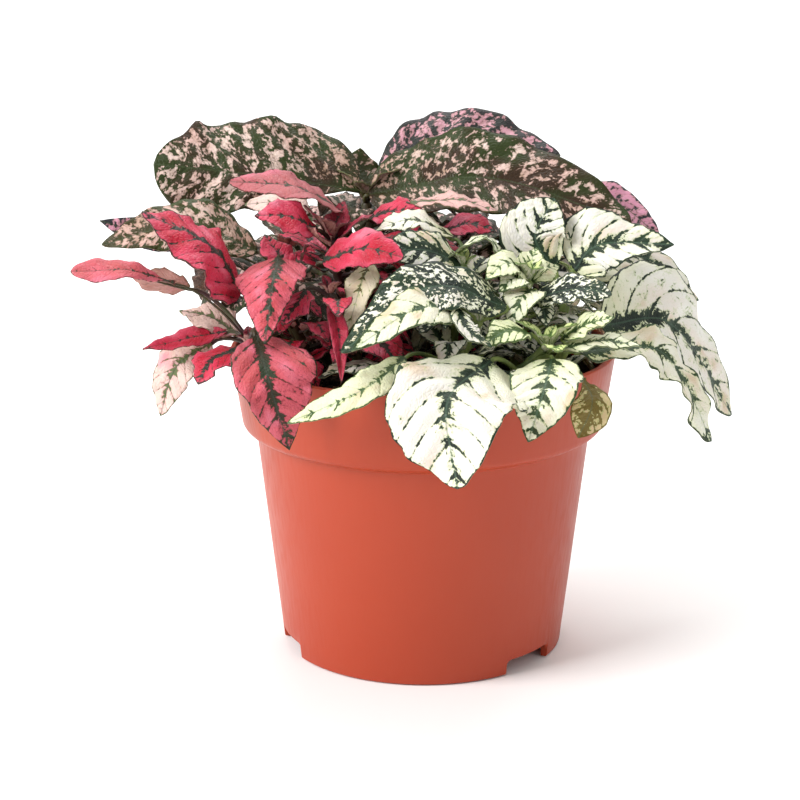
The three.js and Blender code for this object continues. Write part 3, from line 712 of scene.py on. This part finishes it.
def leaf_rows(stem, rng):
    """All leaves of a stem that its rows give, with the side leaves worked out."""
    rows = list(stem["leaves"])
    for row in stem["sides"]:
        dark = stem["dark"] + rng.uniform(-0.12, 0.12)
        rows.append(side_leaf(stem, *row, dark=dark, shade=rng.uniform(0, stem["shade"])))
    return rows


def make_leafy_stem(name, stem, materials, seed):
    """A whole leafy stem in one mesh. Blades have the first material, the rod and the stalks the second."""
    rng = np.random.default_rng(seed)
    rows = leaf_rows(stem, rng) + lower_leaves(stem, rng)
    bodies, joints = [], []
    for number, form in enumerate(rows):
        bodies.append((*blade(form, LEAF_PHASE * number, seed + number), 0))
        points, faces, joint = stalk(stem, form)
        bodies.append((points, faces, {}, 1))
        joints.append(joint)
    for number, form in enumerate(bud_leaves(stem, rng)):
        bodies.append((*blade(form, LEAF_PHASE * number, seed + 40 + number), 0))
    bodies.append((*stem_rod(stem, joints), {}, 1))
    face_materials = np.concatenate([np.full(len(body[1]), body[3]) for body in bodies])
    attributes = {}
    for key in bodies[0][2]:
        attributes[key] = np.vstack([body[2].get(key, np.zeros((len(body[0]), 3))) for body in bodies])
    piece = make_piece(name + "_foliage", *joined(bodies), materials, face_materials, attributes)
    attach(piece, "root")
    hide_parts(name)
    return piece


def leaf_blade(name, **own_looks):
    """A variegated leaf: pale tissue without chlorophyll between green that clings to the veins. Green
    shows where a field passes a threshold. The field adds nearness to the midrib, to the nearest side vein
    and to the edge, the leaf's own darkness, and a coarse and a fine noise, so that its borders are ragged.
    A third noise speckles the darkest leaves. A halo round the green is where the two tissues overlap, and
    a broad noise blends each tissue between two colours."""
    looks = {**PLAIN_LOOKS, **own_looks}
    tree = new_tree(name)
    place = add(tree, "Attribute", attribute_name="leaf_place")["Vector"]
    veins, tone, face = (add(tree, "SeparateXYZ", {0: add(tree, "Attribute", attribute_name=key)["Vector"]})
                         for key in ("leaf_veins", "leaf_tone", "leaf_face"))
    stretched = add(tree, "Mapping", {"Vector": place, "Scale": (1.0, looks["stretch"], 1.0)})[0]
    coarse, fine, broad, spots = (
        add(tree, "TexNoise", dict(zip(("Vector", "Scale", "Detail", "Roughness", "Distortion"), row)))[0]
        for row in ((stretched, looks["splash"], 2.0, 0.6, looks["warp"]), (place, looks["fleck"], 3.0, 0.65),
                    (place, 0.09, 2.0), (place, 0.8, 2.0, 0.6)))

    from_vein = add(tree, "Math", {0: veins["X"], 1: 0.5}, operation="PINGPONG")[0]
    from_vein = add(tree, "Math", {0: from_vein, 1: veins["Y"]}, operation="MULTIPLY")[0]
    midrib_near, vein_near, edge_near = (
        add(tree, "MapRange", {0: distance, 2: looks[reach], 3: 1.0, 4: 0.0})[0]
        for distance, reach in (
            (face["Z"], "midrib_reach"), (from_vein, "vein_reach"), (veins["Z"], "edge_reach")))
    tapering = add(tree, "MapRange", {0: face["X"], 3: 1.1, 4: looks["midrib_tip"]})[0]
    midrib_near = add(tree, "Math", {0: midrib_near, 1: tapering}, operation="MULTIPLY")[0]
    spotty = add(tree, "MapRange", {0: tone["X"], 1: 0.7, 2: 1.1, 4: looks["speckle"]})[0]
    spots = add(tree, "Math", {0: spots, 1: 0.5}, operation="SUBTRACT")[0]
    field = -looks["bare"] - 0.5 * (looks["coarse"] + looks["fine"])
    for amount, weight in (
            (midrib_near, looks["midrib"]), (vein_near, looks["vein"]), (edge_near, looks["edge"]),
            (tone["X"], 1.0), (coarse, looks["coarse"]), (fine, looks["fine"]), (spots, spotty)):
        field = add(tree, "Math", {0: amount, 1: weight, 2: field}, operation="MULTIPLY_ADD")[0]
    soft = looks["soft"]
    green = add(tree, "MapRange", {0: field, 1: -soft, 2: soft}, interpolation_type="SMOOTHSTEP")[0]
    faded = add(tree, "MapRange", {0: face["Y"], 3: 1.0, 4: looks["under_green"]})[0]
    green = add(tree, "Math", {0: green, 1: faded}, operation="MULTIPLY")[0]

    patch = add(tree, "MapRange", {0: broad, 1: 0.38, 2: 0.62}, interpolation_type="SMOOTHSTEP")[0]
    rim = add(tree, "MapRange", {0: veins["Z"], 2: 3.0, 3: looks["rim_show"], 4: 0.0})[0]
    base = add(tree, "MapRange", {0: face["X"], 2: 0.4, 3: looks["base_show"], 4: 0.0})[0]
    smudge = add(tree, "MapRange", {0: broad, 1: 0.6, 2: 0.7, 4: looks["smudge_show"]})[0]
    halo = add(tree, "MapRange", {0: field, 1: -looks["halo_reach"], 2: 0.0, 4: looks["halo_show"]})[0]
    halo = add(tree, "Math", {0: halo, 1: faded}, operation="MULTIPLY")[0]
    mottle = add(tree, "MapRange", {0: broad, 1: 0.42, 2: 0.6})[0]
    rib = add(tree, "MapRange", {0: face["Z"], 1: 0.15, 2: 0.4, 3: looks["rib_show"], 4: 0.0})[0]
    tissues = []
    for first, layers in (
            ("pale", ((patch, "pale_other"), (rim, "pale_rim"), (base, "pale_base"),
                      (tone["Y"], "pale_young"), (tone["Z"], "pale_shade"), (face["Y"], "pale_under"),
                      (smudge, "smudge"), (halo, "halo"))),
            ("green", ((mottle, "green_other"), (tone["Y"], "green_young"), (tone["Z"], "green_shade")))):
        colour = linear(looks[first])
        for share, key in layers:
            colour = add(tree, "Mix", {0: share, 6: colour, 7: linear(looks[key])}, data_type="RGBA")[2]
        tissues.append(colour)
    colour = add(tree, "Mix", {0: green, 6: tissues[0], 7: tissues[1]}, data_type="RGBA")[2]
    colour = add(tree, "Mix", {0: rib, 6: colour, 7: linear(looks["rib"])}, data_type="RGBA")[2]

    net = add(tree, "TexVoronoi", {"Vector": place, "Scale": 0.9}, feature="DISTANCE_TO_EDGE")[0]
    sunk = add(tree, "MapRange", {0: net, 2: 0.25})[0]
    height = add(tree, "Math", {0: fine, 1: 0.7, 2: sunk}, operation="MULTIPLY_ADD")[0]
    height = add(tree, "Math", {0: vein_near, 1: -0.9, 2: height}, operation="MULTIPLY_ADD")[0]
    bump = add(tree, "Bump", {"Strength": 0.42, "Distance": 0.0003, "Height": height})[0]
    gloss = looks["gloss"]
    roughness = add(tree, "MapRange", {0: fine, 1: 0.3, 2: 0.7, 3: gloss, 4: gloss + 0.12})[0]
    return close_material(tree, {
        "Base Color": colour, "Roughness": roughness, "IOR": 1.42, "Specular IOR Level": 0.4, "Normal": bump,
        "Subsurface Weight": 0.1, "Subsurface Radius": (0.0008, 0.0008, 0.0004), "Subsurface Scale": 1.0,
    })


def soft_stem(name, light, dark):
    """A soft green stem: juicy skin flushed with a second colour in long streaks, with a low wet gloss."""
    tree = new_tree(name)
    place = add(tree, "TexCoord")["Object"]
    upright = add(tree, "Mapping", {"Vector": place, "Scale": (1.0, 1.0, 0.3)})[0]
    flush = add(tree, "TexNoise", {"Vector": upright, "Scale": 160.0, "Detail": 3.0})[0]
    share = add(tree, "MapRange", {0: flush, 1: 0.38, 2: 0.62})[0]
    colour = add(tree, "Mix", {0: share, 6: linear(light), 7: linear(dark)}, data_type="RGBA")[2]
    bump = add(tree, "Bump", {"Strength": 0.3, "Distance": 0.0002, "Height": flush})[0]
    return close_material(tree, {
        "Base Color": colour, "Roughness": 0.42, "IOR": 1.42, "Normal": bump,
        "Subsurface Weight": 0.2, "Subsurface Radius": (0.001, 0.0012, 0.0005), "Subsurface Scale": 1.0,
    })


# Pink-splashed plant
# The tallest of the three, with broad dark green leaves that are splashed and flecked with pale pink.
# Its stems and stalks are olive, flushed with brown.
PINK_STEMS = {
    "pink_stem_1": leafy_stem((-14, 18), (-18, 26, 137), shade=0.3, bud=13, leaves=[
        leaf((-20, 24, 140), (-53, 18, 146), (-84, 14, 150), 36, lean=58, fold=0, wave=1.6, waves=2.2,
             peak=0.35, peakNear=0.74, full=0.5, part=0.58, dark=0.44, bulge=3.5),
        leaf((-17, 22, 139), (21, 18, 145), (65, 10, 132), 30, lean=-50, fold=12, wave=1.6, peak=0.4,
             full=0.55, part=0.45, dark=0.58),
        leaf((-17, 26, 138), (-20, 32, 146), (-20, 34, 152), 13, young=0.3),
        leaf((-14, 34, 144), (13, 42, 152), (45, 44, 148), 30, lean=-42, full=0.7, peak=0.45, dark=0.4,
             shade=0.8),
    ], sides=[
        (170, 124, 8, 40, 50, 32), (95, 116, 8, 32, 35, 20), (275, 112, 8, 26, 45, 20),
        (172, 106, 8, 24, 45, 18),
    ]),
    "pink_stem_2": leafy_stem((-38, 4), (-47, -1, 122), shade=0.3, leaves=[
        leaf((-51, -4, 126), (-71, -8, 135), (-97, -14, 130), 20, lean=40, full=0.7, dark=0.3, young=0.3),
        leaf((-70, 4, 127), (-86, 4, 130), (-100, 4, 134), 10, lean=70, dark=0.2, shade=1.0, petiole=0.6),
    ], sides=[(255, 118, 5, 22, 25, 18), (200, 117, 5, 26, 40, 18), (110, 106, 5, 20, 35, 16)]),
    "pink_stem_3": leafy_stem((22, 34), (34, 40, 130), shade=0.5, leaves=[
        leaf((40, 40, 135), (60, 31, 136), (75, 20, 126), 12, lean=-45, full=0.6, dark=0.0, shade=1.0),
    ], sides=[(60, 118, 8, 32, 40, 22), (150, 124, 8, 44, 55, 30), (250, 122, 6, 28, 40, 22)]),
    "pink_stem_4": leafy_stem((-26, 30), (-34, 40, 116), shade=0.4, sides=[
        (192, 116, 8, 50, 60, 34), (248, 112, 7, 36, 50, 26), (140, 113, 7, 22, 40, 16),
        (215, 101, 10, 40, 68, 26), (172, 98, 12, 34, 72, 19), (20, 118, 4, 18, 20, 13),
        (285, 103, 6, 20, 50, 18),
    ]),
    "pink_stem_5": leafy_stem((2, 38), (6, 50, 118), shade=0.4, sides=[
        (172, 115, 6, 40, 60, 30), (225, 115, 4, 20, 30, 11), (112, 115, 6, 31, 30, 20),
        (195, 102, 10, 34, 72, 24), (145, 101, 10, 38, 66, 24),
    ]),
    "pink_stem_6": leafy_stem((-42, 16), (-52, 18, 110), shade=0.4, sides=[
        (280, 104, 6, 28, 70, 22), (234, 109, 6, 30, 60, 22), (310, 104, 6, 18, 60, 14),
    ]),
}
pink_blade = leaf_blade(
    "pink_splashed_leaf", soft=0.16, stretch=0.85, splash=0.45, midrib_reach=2.2, edge_reach=1.6,
    midrib=0.6, midrib_tip=0.5, vein=0.1, edge=0.7, coarse=3.7, fine=1.3, bare=0.4, under_green=0.6,
    pale="#E0CABF", pale_other="#D8B5AC", pale_rim="#C99A9C", rim_show=0.4, pale_base="#B5937C",
    base_show=0.8, pale_young="#B98F78", pale_shade="#CF8FA6", pale_under="#A98C86", smudge="#A8916C",
    smudge_show=0.5, green="#2B370E", green_other="#33200B", green_young="#4A5528", green_shade="#26262B",
    halo="#8C6C58", halo_reach=0.5, rib="#3F4C2C")
pink_stalk = soft_stem("olive_stem_brown_flush", "#4A4C28", "#3C271C")
for number, (name, stem) in enumerate(PINK_STEMS.items()):
    foliage = make_leafy_stem(name, stem, [pink_blade, pink_stalk], 100 + 50 * number)

# Red plant
# Crimson-pink leaves whose green is left only along the midrib and the main side veins and as a hairline
# at the edge. The undersides are pale, and the long stalks are dark brown-green.
RED_STEMS = {
    "red_stem_1": leafy_stem((-38, -26), (-52, -32, 104), dark=0.4, shade=0.2, leaves=[
        leaf((-70, -24, 119), (-79, -28, 122), (-88, -32, 126), 11, lean=-50, shade=0.85, dark=0.55),
        leaf((-73, -36, 123), (-86, -42, 128), (-102, -44, 128), 9, lean=35, waves=2, full=0.6, peak=0.7,
             dark=0.2, shade=0.15, petiole=0.6),
        leaf((-49, -44, 109), (-44, -60, 98), (-39, -59, 79), 25, lean=-10, peak=0.36, part=0.4, dark=0.65,
             shade=0.12),
        leaf((-54, -36, 103), (-62, -42, 101), (-66, -46, 95), 17),
        leaf((-59, -26, 106), (-70, -30, 105), (-83, -36, 103), 8, lean=30, dark=0.15),
        leaf((-64, -24, 102), (-74, -30, 96), (-79, -30, 81), 14, lean=40, full=0.7, dark=0.45, shade=0.95),
        leaf((-56, -22, 104), (-64, -20, 109), (-74, -16, 110), 15, lean=15, dark=0.4, shade=0.95),
    ]),
    "red_stem_2": leafy_stem((-34, -16), (-44, -27, 123), dark=0.4, shade=0.2, leaves=[
        leaf((-54, -28, 119), (-63, -34, 134), (-82, -36, 144), 30, lean=25, fold=-4, full=0.7, peak=0.35,
             dark=0.6),
        leaf((-43, -28, 129), (-44, -44, 124), (-46, -50, 108), 21, fold=-10, peak=0.25, peakNear=0.15,
             full=0.7, part=0.58, dark=0.55, shade=0.1),
        leaf((-40, -24, 125), (-44, -20, 129), (-48, -14, 133), 12, dark=0.4),
    ]),
    "red_stem_3": leafy_stem((-22, -6), (-28, -12, 132), dark=0.4, shade=0.3, bud=9, leaves=[
        leaf((-30, -24, 127), (-18, -30, 132), (-6, -34, 130), 15, lean=-40, full=0.7, dark=0.3),
        leaf((-32, -16, 135), (-40, -22, 140), (-50, -26, 141), 14, lean=40, dark=0.15),
        leaf((-24, -6, 138), (-39, -10, 147), (-59, -8, 148), 14, lean=20, twist=60, full=0.7, dark=0.35,
             young=0.5, shade=0.2),
        leaf((-35, 0, 137), (-44, 2, 140), (-55, 4, 139), 12, lean=40, dark=0.0, shade=1.0),
        leaf((-28, -12, 131), (-31, -14, 137), (-36, -14, 142), 9, dark=0.4, young=0.7),
        leaf((-27, -10, 131), (-26, -9, 137), (-24, -6, 142), 9, dark=0.4, young=0.9),
        leaf((-26, -12, 130), (-22, -14, 136), (-15, -12, 139), 9, dark=0.4, young=0.9),
        leaf((-28, -16, 130), (-32, -20, 134), (-35, -20, 137), 8, dark=0.4, young=0.8),
    ]),
    "red_stem_4": leafy_stem((-4, 4), (-6, 9, 133), dark=0.45, shade=0.3, leaves=[
        leaf((-16, 4, 135), (-8, 0, 138), (0, -2, 138), 12, lean=-30, dark=0.4),
        leaf((-4, 2, 140), (10, 0, 141), (23, -2, 138), 12, lean=-10, dark=0.45, young=0.2, shade=0.7),
        leaf((5, 6, 130), (14, 4, 133), (22, 2, 131), 11, lean=-30),
    ], sides=[(75, 112, 6, 22, 35, 16), (160, 106, 6, 20, 30, 18)]),
    "red_stem_5": leafy_stem((-18, -26), (-28, -29, 119), shade=0.2, leaves=[
        leaf((-28, -30, 117), (-25, -42, 109), (-24, -52, 97), 6, fold=25, dark=0.2, young=0.4),
        leaf((-18, -34, 106), (-12, -40, 105), (-8, -44, 99), 16, dark=0.6),
        leaf((-35, -28, 119), (-38, -32, 115), (-42, -34, 110), 13),
    ]),
}
red_blade = leaf_blade(
    "crimson_leaf_green_veined", soft=0.08, splash=0.4, midrib_reach=2.8, edge_reach=0.6,
    midrib=1.3, vein=0.62, edge=0.95, coarse=2.2, fine=1.6, bare=1.22, under_green=0.4,
    pale="#B5152F", pale_other="#CB3A55", pale_rim="#D0526C", pale_base="#8E1A2C", base_show=0.5,
    pale_young="#7E162A", pale_shade="#DDC3B8", pale_under="#B5867C", smudge="#D8788C", smudge_show=0.7,
    green="#1D2A1C", green_other="#301D18", green_young="#3A1A1E", green_shade="#5E6A3E",
    halo="#7E1626", rib="#3F463C")
red_stalk = soft_stem("brown_green_stem", "#3F3E24", "#3A1E20")
for number, (name, stem) in enumerate(RED_STEMS.items()):
    foliage = make_leafy_stem(name, stem, [red_blade, red_stalk], 500 + 50 * number)

# White plant
# Cream-white leaves with ragged dark green along the midrib, in broken lines on the side veins and as a
# thin waved line at the edge. Young leaves are yellow-green, and one old leaf has dried to tan.
WHITE_STEMS = {
    "white_stem_1": leafy_stem((8, -30), (16, -35, 112), dark=0.4, leaves=[
        leaf((-6, -46, 103), (-18, -64, 98), (-39, -66, 89), 11, lean=30, full=0.7, dark=0.15, young=0.45),
        leaf((-8, -36, 97), (-20, -40, 99), (-31, -46, 97), 13),
        leaf((24, -32, 115), (1, -42, 123), (-24, -52, 106), 20, lean=35, full=0.7, dark=1.1),
        leaf((13, -40, 112), (-1, -50, 119), (-21, -58, 108), 15, lean=30, dark=0.3, young=0.25),
        leaf((9, -44, 118), (12, -52, 113), (19, -54, 108), 8, dark=0.6),
    ]),
    "white_stem_2": leafy_stem((8, -12), (12, -17, 125), leaves=[
        leaf((9, -8, 131), (-3, -10, 137), (-15, -14, 134), 12, lean=20, dark=0.0, shade=0.1),
        leaf((11, -16, 125), (0, -22, 130), (-14, -26, 130), 15, lean=45, full=0.7, dark=0.8),
        leaf((5, -16, 125), (18, -18, 133), (24, -20, 125), 8, dark=0.6, young=0.3),
        leaf((22, -18, 116), (13, -19, 123), (2, -20, 121), 9, dark=0.4, young=0.2),
        # painted shade: this hanging leaf is dulled towards tan by shade=0.55, standing in for the canopy's
        # shade over it
        leaf((-16, -24, 127), (-19, -30, 120), (-23, -34, 107), 11, dark=0.0, shade=0.55),
    ], sides=[(172, 101, 6, 22, 40, 18)]),
    "white_stem_3": leafy_stem((28, -14), (31, -21, 121), bud=8, leaves=[
        leaf((40, -6, 121), (34, -5, 131), (40, -2, 142), 22, lean=10, full=0.7, peak=0.5, dark=0.3),
        leaf((32, -24, 115), (44, -30, 120), (55, -34, 119), 13, lean=-30, full=0.6, peak=0.36, dark=1.05),
        leaf((32, -25, 112), (35, -29, 114), (36, -33, 109), 9),
        leaf((33, -24, 118), (29, -31, 118), (25, -35, 109), 13, dark=0.25, young=0.3),
        leaf((30, -25, 109), (26, -29, 111), (22, -32, 107), 10, dark=0.7),
        leaf((31, -22, 121), (25, -26, 127), (18, -31, 123), 12, lean=30, dark=0.15, young=0.45),
        leaf((31, -24, 120), (27, -28, 123), (22, -30, 119), 11, lean=20, dark=0.15, young=0.35),
        leaf((32, -20, 120), (32, -18, 125), (34, -14, 129), 11, dark=0.3, young=0.45),
        leaf((32, -20, 120), (36, -16, 123), (41, -12, 123), 10, lean=-30, dark=0.2, young=0.5),
    ]),
    "white_stem_4": leafy_stem((24, -34), (36, -37, 104), dark=0.4, bud=10, leaves=[
        leaf((19, -46, 102), (6, -73, 97), (9, -77, 73), 39, full=0.6, peak=0.55, peakNear=0.33,
             part=0.46, lean=4, twist=-60, dark=0.35),
        leaf((37, -44, 102), (33, -65, 97), (29, -68, 84), 21, full=0.8, peak=0.32, dark=0.25, young=0.2),
        leaf((31, -38, 108), (24, -45, 111), (17, -48, 107), 12, lean=20, young=0.6),
        leaf((36, -38, 103), (38, -43, 106), (38, -47, 105), 8, dark=0.3, young=1.0),
        leaf((46, -47, 97), (48, -56, 92), (44, -57, 82), 12, peak=0.6, dark=0.85, shade=1.0, crumple=0.6),
    ]),
    "white_stem_5": leafy_stem((38, -24), (43, -31, 104), dark=0.4, leaves=[
        leaf((54, -14, 105), (78, 4, 101), (101, 24, 66), 32, lean=-60, full=0.6, part=0.4,
             peak=0.45, dark=0.6),
        leaf((45, -30, 101), (72, -26, 99), (88, -20, 70), 16, wave=2.2, lean=-35, twist=-20, full=0.55,
             peak=0.55, dark=0.45, young=0.15),
        leaf((41, -34, 106), (48, -40, 112), (55, -42, 114), 11, lean=-30, dark=0.3, young=0.5),
        leaf((39, -36, 103), (51, -42, 107), (63, -44, 106), 9, lean=-20, dark=0.4, young=0.3),
    ]),
    "white_stem_6": leafy_stem((40, -4), (46, -4, 119), dark=0.4, leaves=[
        leaf((46, -8, 121), (54, -8, 129), (76, -9, 129), 26, lean=-45, fold=15, part=0.48,
             peak=0.33, dark=0.4),
        leaf((47, 2, 118), (70, 21, 119), (89, 25, 104), 19, lean=-45, full=0.7, dark=0.35),
    ], sides=[(160, 110, 5, 26, 40, 18), (210, 102, 6, 20, 35, 18)]),
    "white_stem_7": leafy_stem((36, 20), (46, 28, 106), dark=0.45, sides=[
        (90, 106, 6, 32, 55, 22), (135, 108, 6, 46, 60, 32), (178, 106, 6, 34, 60, 24),
        (112, 94, 8, 28, 75, 18), (60, 100, 8, 26, 55, 16), (160, 98, 12, 28, 72, 18),
    ]),
}
white_blade = leaf_blade(
    "white_leaf_green_veined", soft=0.07, splash=0.33, warp=0.5, fleck=1.1, speckle=7.0, midrib_reach=4.0,
    vein_reach=1.1, edge_reach=0.9, midrib=1.3, vein=0.8, edge=1.3, coarse=2.6, fine=1.7, bare=1.14,
    under_green=0.5, pale="#E6E3DA", pale_other="#E3D9CE", pale_rim="#E6E6CE", pale_base="#DADFAE",
    base_show=0.7, pale_young="#D3DD98", pale_shade="#CDB98A", pale_under="#D3D2BA", smudge="#C9AC88",
    smudge_show=0.6, green="#17241B", green_other="#263A26", green_young="#587433", green_shade="#75652F",
    halo="#A3B768", rib="#4F6B55", rib_show=0.4, gloss=0.38)
white_stalk = soft_stem("pale_green_stem", "#8A9A58", "#4F6233")
for number, (name, stem) in enumerate(WHITE_STEMS.items()):
    foliage = make_leafy_stem(name, stem, [white_blade, white_stalk], 900 + 50 * number)

# Studio
# A plain pale floor that the pot stands on, with a wide soft light from the upper left, a weaker one from
# the right and even light all round. The camera looks slightly down at the front.
CAMERA_PLACE = (-7.2, -637.5, 253.0)
CAMERA_PITCH = 15.38
CAMERA_LENS = 94.7
LIGHT_AIM = (0, 0, 0.09)
SURROUND_STRENGTH = 0.55
FLOOR_REACH = 6000.0
FLOOR_LEVEL = -0.3
LIGHTS = (
    ("key", (-2.3, -1.0, 1.7), 1.6, 98),
    ("fill", (2.4, -1.8, 1.2), 2.0, 8),
    ("top", (0.2, 1.5, 3.0), 2.4, 78),
)

floor_looks = {"Base Color": linear("#FDFDFC"), "Roughness": 0.9, "Specular IOR Level": 0.1}
floor_corners = np.array([(-1, -1), (1, -1), (1, 1), (-1, 1)]) * FLOOR_REACH
floor = make_piece("studio_floor", np.insert(floor_corners, 2, FLOOR_LEVEL, axis=1), np.arange(4)[None],
                   [close_material(new_tree("matt_white_floor"), floor_looks)])

world = bpy.data.worlds.new("even_light")
world.use_nodes = True
surround = world.node_tree.nodes["Background"].inputs
surround["Color"].default_value = linear("#FFFFFF")
surround["Strength"].default_value = SURROUND_STRENGTH
bpy.context.scene.world = world

for name, place, size, power in LIGHTS:
    light = bpy.data.lights.new(name, "AREA")
    light.size = size
    light.energy = power
    lamp = put(name, light)
    lamp.location = place
    aim = np.subtract(LIGHT_AIM, place)
    tilt = math.pi / 2 + math.atan2(aim[2], math.hypot(aim[0], aim[1]))
    lamp.rotation_euler = (tilt, 0, math.atan2(aim[1], aim[0]) - math.pi / 2)

camera_data = bpy.data.cameras.new("camera")
camera_data.lens = CAMERA_LENS
camera = put("camera", camera_data)
camera.location = [c * MM for c in CAMERA_PLACE]
camera.rotation_euler = (math.radians(90 - CAMERA_PITCH), 0, 0)
bpy.context.scene.camera = camera
bpy.context.scene.view_settings.view_transform = "Standard"
